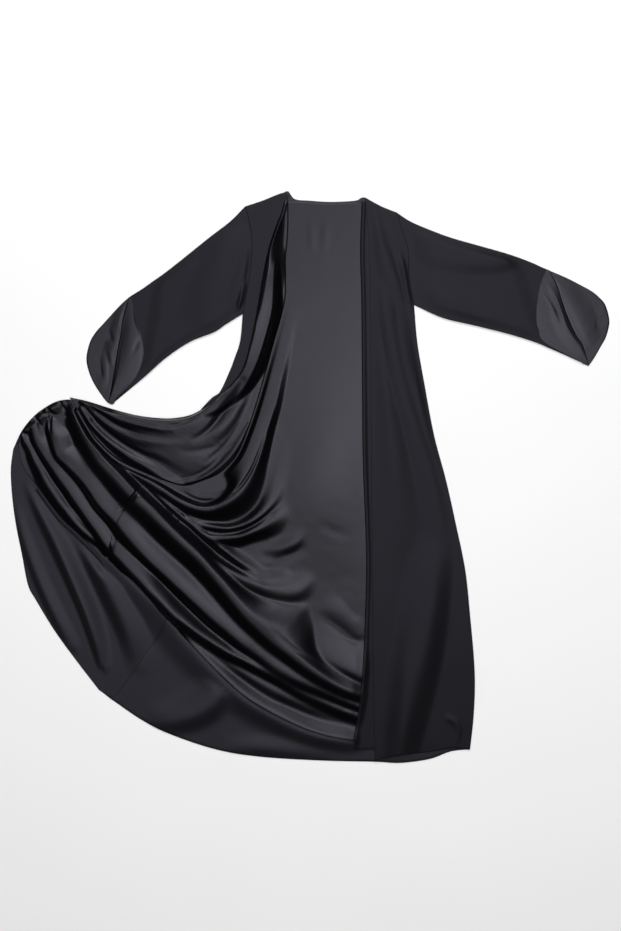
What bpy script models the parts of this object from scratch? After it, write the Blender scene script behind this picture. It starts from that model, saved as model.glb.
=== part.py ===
"""An open-front abaya cloak of black crepe with a satin lining, laid flat on its back.

The wearer's left front lies closed over the back.  The wearer's right front is
turned out to its own side: its satin lining faces up in hanging folds, and below
the lining's hem the crepe lies wrong side up as a wide flare.  Both sleeve ends
are rounded, with the front layer turned back.

Plan sizes are in millimetres: +X is the wearer's left, +Y the neck, +Z up from
the surface that the cloak lies on.
"""

from typing import NamedTuple

import bmesh
import bpy
import numpy as np

MM = 0.001

# Cloth, all in mm
CREPE = 2.0            # shell wall
SATIN = 1.5            # lining wall
FACING = 1.6           # wall of the front facing
CLEAR = 0.3            # between one layer and the next
SEAM_GAP = 0.5         # between two pieces at a sewn seam

# Height of each layer's underside where the cloth lies flat, in mm
ON_FLOOR = 0.0
ON_SHELL = ON_FLOOR + CREPE + CLEAR
ON_LINING = ON_SHELL + SATIN + CLEAR
ON_FACING = ON_LINING + FACING + CLEAR
ON_FRONT = ON_LINING + CREPE + CLEAR

LINING_MARGIN = 20.0   # how far outside a covering layer the lining stays flat
SHELL_MARGIN = 45.0    # and how far the shell does
COVER_FADE = 32.0      # width over which the folds rise after that
FACING_MARGIN = 28.0   # the lining's folds end this far from the facing
FACING_FADE = 50.0     # after sinking over this width
FRONT_SLOPE = 40.0     # width over which the left front comes down off the facing
BAND = np.array([-6.0, -8.0])       # the hem band's width, square to the corner's hem
BAND_GAP = np.array([-0.5, -0.7])   # and its gap to the lining

# Sleeves, all in mm but for the two shares of the sleeve's length
SLEEVE_CROWN = 3.0     # how far the upper layer's middle stands up
CROWN_END = 0.62       # the share of the length where the sleeve lies flat again
CROWN_FADE = 0.2       # and the share before it over which it sinks
LINING_LAP = 12.0      # the satin end runs this far back under the fold
LINING_INSET = 2.0     # and stays this far inside the sleeve's end
ROLL_IN = 1.0          # the turned-back flap passes over the fold's line here
ROLL_OUT = 3.5         # and comes down here


class Fold(NamedTuple):
    """A soft ridge of cloth: its height, its half width at each end, its crest."""
    height: float
    reach_start: float
    reach_end: float
    crest: tuple


# ---------------------------------------------------------------- outlines (x, y)

BACK_TOP = (
    (-162, 676), (-120, 690), (-68, 710), (-55, 715), (-38, 695), (0, 691), (45, 688),
    (88, 689), (118, 692), (135, 699), (178, 676), (218, 660),
)
ARMHOLE_RIGHT = (
    (-162, 676), (-152, 635), (-145, 592), (-148, 530), (-155, 480), (-168, 408),
)
ARMHOLE_LEFT = ((218, 660), (230, 618), (245, 568), (248, 498), (260, 430))
SIDE_SEAM = (
    (-168, 408), (-175, 338), (-195, 278), (-215, 192), (-245, 42), (-280, -95),
    (-318, -232), (-368, -370), (-420, -455), (-478, -535), (-498, -555),
)
OPENED_FROM = 2        # the SIDE_SEAM point where the turned-out stretch starts
LEFT_SIDE = (
    (260, 430), (268, 338), (285, 238), (310, 105), (340, -8), (365, -120), (388, -232),
    (400, -345), (410, -458), (412, -532), (408, -608), (400, -681),
)
BACK_HEM = (
    (-498, -555), (-420, -608), (-345, -645), (-232, -682), (-120, -700), (30, -709),
    (162, -712), (225, -715), (300, -705), (352, -686), (400, -681),
)
OPENED_TOP = (
    (-742, 70), (-720, 116), (-690, 152), (-655, 174), (-610, 190), (-540, 178),
    (-480, 160), (-420, 146), (-360, 140), (-315, 144), (-265, 166), (-226, 212),
    (-195, 278),
)
OPENED_HEM = (
    (-742, 70), (-748, 20), (-745, -45), (-735, -120), (-720, -195), (-705, -270),
    (-685, -308), (-640, -382), (-585, -458), (-528, -532),
)
FRONT_RIGHT_OUTER = (
    (-168, 408), (-175, 338), (-195, 278), (-220, 218), (-245, 198), (-272, 170),
)
FRONT_RIGHT_INNER = (
    (-60, 706), (-72, 617), (-82, 552), (-95, 455), (-120, 330), (-150, 255),
    (-195, 202), (-260, 160),
)
FACING_EDGE = (
    (129, 690), (125, 568), (128, 442), (130, 192), (132, 28), (140, -205), (135, -408),
    (130, -508), (122, -580), (112, -635), (108, -681),
)
FRONT_LEFT_EDGE = (
    (136, 699), (143, 650), (150, 492), (152, 192), (155, -208), (158, -508), (162, -709),
)
FRONT_LEFT_TOP = ((136, 699), (178, 676), (218, 660))
FRONT_LEFT_HEM = ((162, -709), (222, -695), (294, -688), (357, -678), (400, -682))
UNDER_FRONT = 188      # x where the lining and the facing stop under the left front
FACING_LAP = 183
FACING_INSET = 8       # the facing's top stays this far below the shoulder

# Back lining: its side edge, and the height on the far side that each point runs to
LINING_STATIONS = (
    # side_x, side_y, far_y
    (-70, 688, 660),
    (-78, 542, 585),
    (-85, 442, 500),
    (-112, 330, 390),
    (-148, 230, 280),
    (-175, 148, 180),
    (-205, 80, 80),
    (-250, 32, -40),
    (-300, 12, -170),
    (-355, 18, -290),
    (-400, 12, -370),
)
LINING_SEAM = (
    # x, y, far_y
    (-400, 12, -370),
    (-430, -40, -440),
    (-472, -95, -510),
    (-492, -140, -570),
    (-500, -190, -625),
    (-508, -218, -672),
)
LINING_NECK = (
    (-70, 688), (-38, 688), (0, 686), (45, 683), (88, 684), (118, 684), (188, 660),
)
LINING_HEM = (
    (-508, -218), (-446, -255), (-402, -302), (-358, -360), (-306, -408), (-258, -458),
    (-198, -518), (-134, -568), (-54, -610), (25, -640), (108, -659), (188, -672),
)
CORNER_GATHERS = (
    (-732, 90), (-720, 115), (-690, 152), (-660, 175), (-630, 190), (-600, 193),
    (-575, 184),
)
CORNER_HEM = (
    (-732, 90), (-718, 28), (-680, -25), (-625, -99), (-584, -138), (-530, -192),
    (-508, -218),
)
CORNER_LAP = ((-575, 184), (-532, 120), (-470, 62), (-400, 12))

# Turned-out lining of the right front, from the neck round to the gathered corner
SWAG_STATIONS = (
    # edge_x, edge_y, edge_z, fold_x, fold_y, fold_z
    (-60, 702, 6.4, -52, 694, 6.4),
    (-78, 660, 6.4, -55, 640, 6.4),
    (-90, 618, 6.4, -56, 590, 6.4),
    (-100, 585, 6.4, -57, 550, 6.4),
    (-112, 535, 6.4, -59, 500, 6.4),
    (-122, 485, 6.4, -61, 450, 6.4),
    (-132, 425, 6.4, -72, 398, 6.4),
    (-148, 345, 6.4, -88, 342, 6.4),
    (-170, 270, 6.4, -105, 280, 6.4),
    (-208, 222, 6.4, -128, 198, 6.0),
    (-262, 176, 6.4, -152, 125, 5.5),
    (-300, 155, 5.6, -182, 55, 5.5),
    (-345, 147, 2.4, -222, 12, 5.5),
    (-385, 148, 2.4, -264, -8, 5.5),
    (-420, 152, 2.4, -310, -22, 5.5),
    (-450, 158, 2.4, -350, -14, 5.5),
    (-480, 166, 2.4, -400, 5, 5.5),
    (-510, 175, 2.4, -478, 42, 5.5),
    (-538, 184, 4.6, -530, 88, 5.5),
    (-562, 191, 5.0, -556, 125, 5.5),
    (-600, 199, 5.0, -578, 165, 5.5),
)

# ---------------------------------------------------------------------- folds

LINING_FOLDS = (
    Fold(24, 26, 30, (
        (-45, 418), (-60, 338), (-85, 262), (-100, 182), (-120, 102), (-148, 38),
        (-175, -12), (-208, -45), (-240, -65), (-270, -72), (-305, -68), (-345, -48))),
    Fold(17, 26, 30, (
        (-48, 192), (-58, 92), (-80, -8), (-100, -70), (-130, -112), (-172, -138),
        (-220, -142), (-262, -130))),
    Fold(15, 24, 28, (
        (-15, -208), (-25, -262), (-55, -290), (-100, -288), (-150, -262), (-205, -225),
        (-245, -182))),
    Fold(20, 24, 32, (
        (-610, 152), (-575, 102), (-525, 42), (-478, -2), (-432, -42), (-382, -95),
        (-318, -160), (-262, -215), (-212, -275), (-150, -345), (-72, -420), (0, -475),
        (88, -530))),
    Fold(20, 24, 32, (
        (-650, 155), (-625, 82), (-580, 18), (-530, -42), (-482, -108), (-435, -180),
        (-385, -235), (-330, -282), (-275, -328), (-200, -382), (-105, -455),
        (-40, -495), (22, -528), (88, -558))),
    Fold(17, 22, 26, (
        (-685, 142), (-650, 72), (-605, 8), (-555, -62), (-515, -132), (-485, -188),
        (-448, -228), (-402, -275), (-355, -322), (-290, -372), (-228, -418),
        (-138, -468), (-72, -508), (-10, -542), (70, -575))),
    Fold(9, 20, 24, (
        (-335, -372), (-262, -430), (-188, -485), (-102, -530), (-8, -578), (58, -610))),
    Fold(15, 20, 24, (
        (-720, 100), (-690, 38), (-650, -25), (-605, -88), (-560, -135), (-525, -172))),
    Fold(16, 30, 34, ((-712, 106), (-680, 142), (-640, 168), (-600, 172))),
    Fold(5, 60, 60, ((0, 300), (10, 100), (30, -60), (40, -200))),
)
SWAG_FOLDS = (
    Fold(15, 26, 16, (
        (-545, 168), (-480, 138), (-400, 122), (-315, 124), (-250, 150), (-205, 192),
        (-160, 278), (-135, 380), (-116, 468))),
    Fold(22, 26, 22, (
        (-555, 155), (-495, 108), (-412, 75), (-325, 68), (-255, 92), (-205, 142),
        (-165, 212), (-130, 312), (-108, 405))),
    Fold(24, 24, 14, (
        (-562, 140), (-515, 92), (-445, 50), (-370, 26), (-300, 12), (-240, 36),
        (-202, 80), (-170, 138), (-142, 212), (-116, 300), (-92, 400), (-76, 480),
        (-72, 560), (-70, 640))),
)
FLARE_FOLDS = (
    Fold(11, 30, 36, (
        (-725, 38), (-685, -58), (-635, -170), (-585, -252), (-545, -322), (-520, -388),
        (-508, -458))),
    Fold(8, 30, 34, (
        (-570, -200), (-522, -268), (-480, -338), (-455, -420), (-445, -488))),
    Fold(6, 24, 28, ((-740, -58), (-715, -170), (-680, -278), (-640, -352))),
    Fold(8, 50, 50, ((-345, -558), (-288, -562), (-235, -552))),
)
FRONT_FOLDS = (
    Fold(8, 30, 44, (
        (195, 568), (210, 392), (232, 192), (265, 42), (310, -108), (340, -258))),
    Fold(6, 28, 40, (
        (176, 392), (190, 142), (210, -108), (222, -358), (232, -608))),
    Fold(7, 26, 36, ((238, 330), (278, 170), (322, 22), (352, -158), (362, -358))),
    Fold(5, 30, 40, ((300, -300), (310, -450), (318, -600))),
)
SLEEVE_FOLDS_RIGHT = (
    Fold(5, 30, 30, ((-190, 560), (-260, 500), (-330, 440), (-390, 390))),
    Fold(4, 26, 26, ((-190, 470), (-250, 420), (-320, 370))),
)
SLEEVE_FOLDS_LEFT = (
    Fold(5, 30, 30, ((270, 560), (350, 530), (430, 500), (510, 470))),
    Fold(4, 26, 26, ((290, 470), (370, 450), (450, 425))),
)

# -------------------------------------------------------------------- sleeves


class Sleeve(NamedTuple):
    """Plan outlines of one sleeve: long edges from the armhole down, then its end."""
    side: str
    outward: int
    armhole: tuple
    upper: tuple
    lower: tuple
    end: tuple
    turn: tuple
    flap: tuple
    folds: tuple


SLEEVES = (
    Sleeve(
        "right", -1, ARMHOLE_RIGHT,
        upper=((-162, 676), (-200, 638), (-252, 598), (-352, 518), (-405, 480),
               (-452, 450)),
        lower=((-168, 408), (-210, 382), (-240, 362), (-300, 338), (-360, 298),
               (-420, 245), (-496, 181)),
        end=((-452, 450), (-476, 428), (-518, 382), (-535, 363), (-550, 338),
             (-559, 299), (-554, 267), (-539, 232), (-510, 190), (-496, 181)),
        turn=((-450, 446), (-464, 398), (-471, 350), (-478, 315), (-484, 276),
              (-491, 235), (-500, 186)),
        flap=((-446, 444), (-436, 391), (-424, 360), (-418, 334), (-416, 305),
              (-426, 268), (-442, 240), (-466, 215), (-494, 188)),
        folds=SLEEVE_FOLDS_RIGHT,
    ),
    Sleeve(
        "left", 1, ARMHOLE_LEFT,
        upper=((218, 660), (252, 638), (298, 618), (352, 598), (422, 578), (492, 558),
               (548, 538), (592, 519)),
        lower=((260, 430), (332, 398), (415, 378), (495, 358), (560, 338), (608, 318),
               (697, 278)),
        end=((592, 519), (641, 498), (680, 478), (705, 464), (724, 448), (738, 431),
             (747, 402), (748, 381), (740, 350), (728, 328), (712, 300), (697, 278)),
        turn=((594, 517), (614, 478), (629, 432), (643, 395), (660, 358), (678, 330),
              (692, 284)),
        flap=((590, 517), (575, 480), (568, 440), (565, 410), (568, 375), (582, 340),
              (628, 312), (686, 284)),
        folds=SLEEVE_FOLDS_LEFT,
    ),
)

# ------------------------------------------------------------------- geometry


def smooth_line(points, steps):
    """Catmull-Rom curve through the points, with the given steps in each span."""
    knots = np.asarray(points, dtype=float)
    padded = np.vstack([2 * knots[0] - knots[1], knots, 2 * knots[-1] - knots[-2]])
    curve = []
    for before, start, finish, after in zip(padded, padded[1:], padded[2:], padded[3:]):
        for t in np.arange(steps) / steps:
            curve.append(0.5 * (
                2 * start + (finish - before) * t
                + (2 * before - 5 * start + 4 * finish - after) * t ** 2
                + (3 * start - before - 3 * finish + after) * t ** 3))
    curve.append(knots[-1])
    return np.array(curve)


def even_line(points, cells):
    """The same curve cut into cells of equal length."""
    curve = smooth_line(points, 8)
    lengths = np.linalg.norm(np.diff(curve[:, :2], axis=0), axis=1)
    travelled = np.concatenate([[0.0], np.cumsum(lengths)])
    marks = np.linspace(0.0, travelled[-1], cells + 1)
    return np.column_stack([np.interp(marks, travelled, axis) for axis in curve.T])


def patch(left, right, top, bottom):
    """Plan grid of a four-sided panel, blended from its edges (a Coons patch)."""
    v = np.linspace(0.0, 1.0, len(left))[:, None, None]
    u = np.linspace(0.0, 1.0, len(top))[None, :, None]
    across = (1 - u) * left[:, None] + u * right[:, None]
    along = (1 - v) * top[None] + v * bottom[None]
    corners = ((1 - v) * ((1 - u) * left[0] + u * right[0])
               + v * ((1 - u) * left[-1] + u * right[-1]))
    return across + along - corners


def aside(line, shift):
    """The line moved along X, to leave half of a seam's gap."""
    return line + np.array([shift, 0.0])


def ease(values):
    """Smooth step from 0 to 1 while the values go from 0 to 1."""
    t = np.clip(values, 0.0, 1.0)
    return t * t * (3 - 2 * t)


def distance_to(plan, line):
    """Distance from each plan point to a line, and how far along it, from 0 to 1."""
    best = np.full(plan.shape[:2], 1e9)
    along = np.zeros(plan.shape[:2])
    spans = len(line) - 1
    for i, (start, finish) in enumerate(zip(line, line[1:])):
        run = finish - start
        t = np.clip(((plan - start) @ run) / (run @ run), 0.0, 1.0)
        gap = np.linalg.norm(plan - start - t[..., None] * run, axis=-1)
        nearer = gap < best
        best = np.where(nearer, gap, best)
        along = np.where(nearer, (i + t) / spans, along)
    return best, along


def inside(plan, outline):
    """True where a plan point lies inside the closed outline."""
    x, y = plan[..., 0], plan[..., 1]
    within = np.zeros(x.shape, dtype=bool)
    for (x1, y1), (x2, y2) in zip(outline, np.roll(outline, -1, axis=0)):
        crosses = (y1 > y) != (y2 > y)
        reach = (x2 - x1) * (y - y1) / (y2 - y1 if y2 != y1 else 1.0) + x1
        within ^= crosses & (x < reach)
    return within


def rise(plan, folds):
    """Height that the folds add; where two meet, the higher one leads."""
    total = np.zeros(plan.shape[:2])
    for fold in folds:
        gap, along = distance_to(plan, smooth_line(fold.crest, 4))
        reach = fold.reach_start + (fold.reach_end - fold.reach_start) * along
        bell = np.cos(0.5 * np.pi * np.clip(gap / reach, 0.0, 1.0)) ** 2
        ends = 0.35 + 0.65 * ease(np.minimum(along, 1 - along) * 6)
        total += (fold.height * bell * ends) ** 4
    return total ** 0.25


def flat(plan):
    """No lift anywhere."""
    return np.zeros(plan.shape[:2])


def flat_edges(count):
    """0 at both ends of a row of points and 1 over its middle two thirds."""
    share = np.linspace(0.0, 1.0, count)
    return ease(np.minimum(share, 1 - share) * 6)


def uncovered(plan, outline, edge, margin):
    """0 under a covering layer and within the margin of its edge, 1 further out."""
    gap, _ = distance_to(plan, edge)
    return np.where(inside(plan, outline), 0.0, ease((gap - margin) / COVER_FADE))


def wall(name, plan, low, lift, thickness, material):
    """A closed sheet of cloth over a plan grid, and its named object.

    low is the underside's height where the cloth lies flat, lift what the folds
    add.  The wall keeps its thickness square to the cloth on the folds' slopes.
    """
    rows, cols = plan.shape[:2]
    top = np.broadcast_to(low, (rows, cols)) + thickness + lift
    surface = np.dstack([plan, top])
    normal = np.cross(np.gradient(surface, axis=1), np.gradient(surface, axis=0))
    upright = np.abs(normal[..., 2]) / np.linalg.norm(normal, axis=-1)
    under = np.maximum(top - thickness / np.maximum(upright, 0.4), low)
    mesh = bmesh.new()
    place = mesh.verts.layers.int.new("place")
    bmesh.ops.create_grid(mesh, x_segments=cols - 1, y_segments=rows - 1, size=1.0)
    for vert in mesh.verts:
        col = round((vert.co.x + 1) / 2 * (cols - 1))
        row = round((vert.co.y + 1) / 2 * (rows - 1))
        vert[place] = row * cols + col
        vert.co = surface[row, col] * MM
    bmesh.ops.triangulate(mesh, faces=mesh.faces[:])
    copied = bmesh.ops.extrude_face_region(mesh, geom=mesh.faces[:])["geom"]
    for vert in copied:
        if isinstance(vert, bmesh.types.BMVert):
            vert.co.z = under.flat[vert[place]] * MM
    bmesh.ops.recalc_face_normals(mesh, faces=mesh.faces[:])
    data = bpy.data.meshes.new(name)
    mesh.to_mesh(data)
    mesh.free()
    data.shade_smooth()
    data.materials.append(material)
    obj = bpy.data.objects.new(name, data)
    bpy.context.scene.collection.objects.link(obj)
    return obj


def cloth(name, colour, roughness):
    """A Principled material with a plain colour."""
    material = bpy.data.materials.new(name)
    material.use_nodes = True
    shader = material.node_tree.nodes["Principled BSDF"]
    shader.inputs["Base Color"].default_value = (*colour, 1.0)
    shader.inputs["Roughness"].default_value = roughness
    shader.inputs["Metallic"].default_value = 0.0
    return material


# --------------------------------------------------------------------- pieces


def swag_edges():
    """The turned-out lining's two long edges with their heights."""
    table = smooth_line(SWAG_STATIONS, 2)
    return table[:, :3], table[:, 3:]


def swag_outline():
    """Closed plan outline of the turned-out lining, and its folded edge."""
    edge, fold = swag_edges()
    return np.vstack([edge[:, :2], fold[::-1, :2]]), fold[:, :2]


def lining_outline():
    """Closed plan outline of all the lining that lies on the shell, and its hem."""
    hem = np.vstack([smooth_line(CORNER_HEM, 3), smooth_line(LINING_HEM, 3)[1:]])
    rest = np.array([(188, 660), (-70, 688), (-300, 160), (-575, 184), (-660, 175)])
    return np.vstack([hem, rest]), hem


def make_shell(crepe):
    """Back, turned-out right front, closed stretch of the right front."""
    outline, hem = lining_outline()
    side = smooth_line(SIDE_SEAM, 2)
    left = np.vstack([smooth_line(ARMHOLE_RIGHT, 2)[:-1], side])
    armhole = smooth_line(ARMHOLE_LEFT, 2)[:-1]
    right = np.vstack([armhole, even_line(LEFT_SIDE, len(left) - len(armhole) - 1)])
    plan = patch(aside(left, SEAM_GAP / 2), aside(right, -SEAM_GAP / 2),
                 even_line(BACK_TOP, 14), even_line(BACK_HEM, 14))
    lift = rise(plan, FLARE_FOLDS) * uncovered(plan, outline, hem, SHELL_MARGIN)
    lift[inside(plan, np.array(FRONT_LEFT_EDGE + LEFT_SIDE[::-1]))] = 0.0
    wall("back", plan, ON_FLOOR, lift, CREPE, crepe)

    opened = side[2 * OPENED_FROM:]
    plan = patch(even_line(OPENED_HEM, len(opened) - 1), aside(opened, -SEAM_GAP / 2),
                 even_line(OPENED_TOP, 18),
                 even_line((OPENED_HEM[-1], (-513, -543), SIDE_SEAM[-1]), 18))
    plan[-1, -1, 0] -= SEAM_GAP / 2
    lift = rise(plan, FLARE_FOLDS) * uncovered(plan, outline, hem, SHELL_MARGIN)
    wall("front_right_opened", plan, ON_FLOOR, lift, CREPE, crepe)

    outer = np.vstack([smooth_line(ARMHOLE_RIGHT, 2)[:-1],
                       smooth_line(FRONT_RIGHT_OUTER, 2)])
    inner = even_line(FRONT_RIGHT_INNER, len(outer) - 1)
    plan = patch(aside(outer, SEAM_GAP / 2), inner,
                 even_line((ARMHOLE_RIGHT[0], (-120, 690), (-68, 710), (-60, 706)), 6),
                 even_line((FRONT_RIGHT_OUTER[-1], (-266, 165), (-260, 160)), 6))
    wall("front_right", plan, ON_LINING, flat(plan), CREPE, crepe)


def lining_lift(plan):
    """Folds of the lining, flat under the swag and under the left front."""
    outline, fold = swag_outline()
    facing = smooth_line(FACING_EDGE, 3)[::-1]
    front = np.interp(plan[..., 1], facing[:, 1], facing[:, 0])
    beside = ease((front - FACING_MARGIN - plan[..., 0]) / FACING_FADE)
    return rise(plan, LINING_FOLDS) * uncovered(plan, outline, fold, LINING_MARGIN) * beside


def make_lining(satin, crepe):
    """Back lining, gathered corner, turned-out swag, and the corner's hem band."""
    stations = np.vstack([smooth_line(LINING_STATIONS, 4)[:-1],
                          smooth_line(LINING_SEAM, 4)])
    seam = smooth_line(LINING_SEAM, 4)[:, :2]
    right = np.column_stack([np.full(len(stations), float(UNDER_FRONT)), stations[:, 2]])
    plan = patch(aside(stations[:, :2], SEAM_GAP / 2), right,
                 even_line(LINING_NECK, 34), even_line(LINING_HEM, 34))
    wall("lining_back", plan, ON_SHELL, lining_lift(plan), SATIN, satin)

    plan = patch(even_line(CORNER_HEM, 24), even_line(CORNER_LAP, 24),
                 even_line(CORNER_GATHERS, len(seam) - 1), aside(seam[::-1], -SEAM_GAP / 2))
    wall("lining_front_right", plan, ON_SHELL, lining_lift(plan), SATIN, satin)

    edge, fold = swag_edges()
    across = np.linspace(0.0, 1.0, 12)[None, :, None]
    swag = (1 - across) * edge[:, None] + across * fold[:, None]
    wall("lining_front_right_swag", swag[..., :2], swag[..., 2],
         rise(swag[..., :2], SWAG_FOLDS), SATIN, satin)

    inner = even_line(CORNER_HEM[2:], 10) + BAND_GAP
    band = np.stack([inner + BAND, inner], axis=1)
    wall("lining_hem_band", band, ON_SHELL, flat(band), SATIN, crepe)


def make_front_left(crepe):
    """Closed left front and the facing that shows beside its edge."""
    edge = even_line(FACING_EDGE, 24)
    lap = np.column_stack([np.full(len(edge), float(FACING_LAP)), edge[:, 1]])
    lap[0, 1] = FRONT_LEFT_TOP[1][1] - FACING_INSET
    plan = patch(edge, lap, even_line((edge[0], lap[0]), 2),
                 even_line((edge[-1], lap[-1]), 2))
    wall("front_left_facing", plan, ON_LINING, flat(plan), FACING, crepe)

    right = np.vstack([smooth_line(ARMHOLE_LEFT, 2)[:-1], even_line(LEFT_SIDE, 20)])
    plan = patch(even_line(FRONT_LEFT_EDGE, len(right) - 1), aside(right, -SEAM_GAP / 2),
                 even_line(FRONT_LEFT_TOP, 9), even_line(FRONT_LEFT_HEM, 9))
    past = plan[..., 0] - UNDER_FRONT - LINING_MARGIN
    low = ON_FACING + (ON_SHELL - ON_FACING) * ease(past / FRONT_SLOPE)
    lift = rise(plan, FRONT_FOLDS) * flat_edges(plan.shape[1])
    wall("front_left", plan, low, lift, CREPE, crepe)


def make_sleeve(sleeve, crepe, satin):
    """One sleeve: under layer, its satin end, upper layer and turned-back flap."""
    out = sleeve.outward
    armhole = aside(smooth_line(sleeve.armhole, 2), out * SEAM_GAP / 2)
    around = len(armhole) - 1
    plan = patch(armhole, even_line(sleeve.end, around),
                 even_line(sleeve.upper, 10), even_line(sleeve.lower, 10))
    wall(f"sleeve_{sleeve.side}_back", plan, ON_FLOOR, flat(plan), CREPE, crepe)

    lap = aside(even_line(sleeve.turn, 8), -out * LINING_LAP)
    end = aside(even_line(sleeve.end, 8), -out * LINING_INSET)
    plan = patch(lap, end, even_line((lap[0], end[0]), 5), even_line((lap[-1], end[-1]), 5))
    wall(f"sleeve_{sleeve.side}_lining", plan, ON_SHELL, flat(plan), SATIN, satin)

    turn = even_line(sleeve.turn, around)
    plan = patch(armhole, turn, even_line(sleeve.upper[:-1] + (sleeve.turn[0],), 14),
                 even_line(sleeve.lower[:-1] + (sleeve.turn[-1],), 14))
    along = np.linspace(0.0, 1.0, plan.shape[1])[None, :]
    edges = flat_edges(plan.shape[0])[:, None]
    full = edges * ease((CROWN_END - along) / CROWN_FADE)
    lift = (SLEEVE_CROWN + rise(plan, sleeve.folds)) * full
    wall(f"sleeve_{sleeve.side}_front", plan, ON_LINING, lift, CREPE, crepe)

    roll = even_line(sleeve.turn, 10)
    brow = aside(roll, out * ROLL_IN)
    plan = patch(brow, even_line(sleeve.flap, 10),
                 even_line((brow[0], sleeve.flap[0]), 6),
                 even_line((brow[-1], sleeve.flap[-1]), 6))
    plan = np.concatenate([aside(roll, out * ROLL_OUT)[:, None], plan], axis=1)
    low = np.full(plan.shape[:2], ON_FRONT)
    low[:, 0] = ON_LINING
    wall(f"cuff_{sleeve.side}", plan, low, flat(plan), SATIN, satin)


def main():
    for obj in list(bpy.data.objects):
        bpy.data.objects.remove(obj)
    crepe = cloth("crepe", (0.026, 0.025, 0.031), 0.85)
    satin = cloth("satin", (0.030, 0.030, 0.036), 0.35)
    make_shell(crepe)
    make_lining(satin, crepe)
    make_front_left(crepe)
    for sleeve in SLEEVES:
        make_sleeve(sleeve, crepe, satin)


main()
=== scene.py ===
"""Looks of a laid-out abaya cloak: black crepe shell, black satin lining, studio floor.

Plan sizes are in millimetres: +X is the wearer's left, +Y the neck, +Z up from the
floor.  Each cloth piece is a thin sheet on its solid's form, with its folds and
creases placed along their crests.
"""

from typing import NamedTuple

import bmesh
import bpy
import numpy as np
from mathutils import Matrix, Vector


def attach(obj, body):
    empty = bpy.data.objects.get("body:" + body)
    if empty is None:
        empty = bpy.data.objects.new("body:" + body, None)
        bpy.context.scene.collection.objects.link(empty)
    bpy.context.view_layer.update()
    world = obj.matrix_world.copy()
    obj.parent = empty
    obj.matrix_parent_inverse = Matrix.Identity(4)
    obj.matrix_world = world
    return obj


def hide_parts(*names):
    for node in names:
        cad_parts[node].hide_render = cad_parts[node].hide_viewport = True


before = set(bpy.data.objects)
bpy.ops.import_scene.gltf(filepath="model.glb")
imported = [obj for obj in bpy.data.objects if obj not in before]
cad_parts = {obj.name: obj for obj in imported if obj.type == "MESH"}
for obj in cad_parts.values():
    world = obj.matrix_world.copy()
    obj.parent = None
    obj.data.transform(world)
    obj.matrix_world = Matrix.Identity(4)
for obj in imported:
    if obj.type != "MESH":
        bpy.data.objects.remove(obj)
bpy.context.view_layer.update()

MM = 0.001

# Cloth, all in mm
CREPE = 1.4            # shell cloth with its turned hem
SATIN = 0.9            # lining cloth
FLOOR_TOP = 2.0        # upper face of a shell layer on the floor
LINING_TOP = 3.8       # of the lining on it
FACING_TOP = 5.7       # of the front facing on the lining
FACING_CLEAR = 0.5     # at least this far above a fold of the lining
FACING_ROLL = 2.2      # how far its turned hem stands up
FACING_HEM = 11.0      # and that hem's width
FRONT_TOP = 8.0        # of the left front on its facing
FRONT_LOW = 4.3        # of the left front where it lies on the shell alone
FRONT_SLOPE = 95.0     # and how far it takes to come down there
FRONT_EDGE = 1 / 3     # its folds are full this share of its width in from the front edge,
FRONT_SIDE = 1 / 6     # and from its side
CLOSED_TOP = 6.1       # of the right front's closed stretch, and of the sleeve fronts
FLAP_TOP = 7.9         # of the turned-back sleeve ends
SLEEVE_PUFF = 3.0      # how far a sleeve's upper layer stands off the lower one
SWAG_TOP = 7.6         # of the turned-out lining where it lies flat
SWAG_LOW = 5.2         # of its lower edge, down on the lining
SWAG_ROLL = 7.0        # how far in its upper edge rolls over
SWAG_TUCK = 7.0        # and its lower edge tucks under

LINING_MARGIN = 3.0    # the lining stays flat this far out from under the swag,
LINING_FADE = 11.0     # and its folds are full this much further out
SHELL_MARGIN = 6.0     # the same for the shell beside the lining
SHELL_FADE = 30.0
FACING_KEEP = 0.85     # share of the lining's folds left at the facing's edge
FACING_FADE = 25.0     # and how far out from it they start to sink
FACING_UNDER = 20.0    # how far under the facing the last of them runs
HEM_BAND = (7.5, 10.0)         # the corner's hem band: how far out it reaches, x and y
HEM_BAND_LAP = (1.0, 1.3)      # and how far in it starts

FOOT = 1.5             # how softly a flank runs out: 1 is a straight slope
MEET = 4.0             # how sharply two folds meet
LEVEL_SHARE = 0.55     # a level top takes at most this share of a flank's reach

UNDER_FRONT = 188.0    # x where the lining ends under the left front
FACING_LAP = 183.0     # and where the facing does
FACING_LAP_DROP = 8.0  # the facing's hidden edge starts this far below the shoulder line
FACING_LAP_STEP = 0.5  # and each of its next rows at least this much lower

# Sleeve ends, in mm along X from the edge where the upper layer turns back
END_LAP = 12.0         # the satin inside the end starts this far in,
END_INSET = 2.0        # and ends this far in from the under layer's end
END_BARE = 3.0         # its folds start this far out,
END_FADE = 8.0         # and are full this much further
FLAP_START = 4.0       # the flap comes up out of the sleeve this far out,
FLAP_BROW = 1.6        # and bends back over this far out

SLEEVE_CELLS = 60      # across a sleeve
END_CELLS = 70         # and across its end

# Sleeve folds, as shares of the way from the armhole to where it turns back
ROOT_FADE = 0.2        # where the upper layer is at its own height
FOLD_START = 0.05      # where its folds are full
PUFF_START = 0.25      # where it stands off fully
PUFF_END = 0.82        # where it is down on the lower layer again,
PUFF_FADE = 0.14       # and how long before that it starts to come down
SLEEVE_EDGE = 1 / 7    # all are full this share of the width in from each long edge

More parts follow.
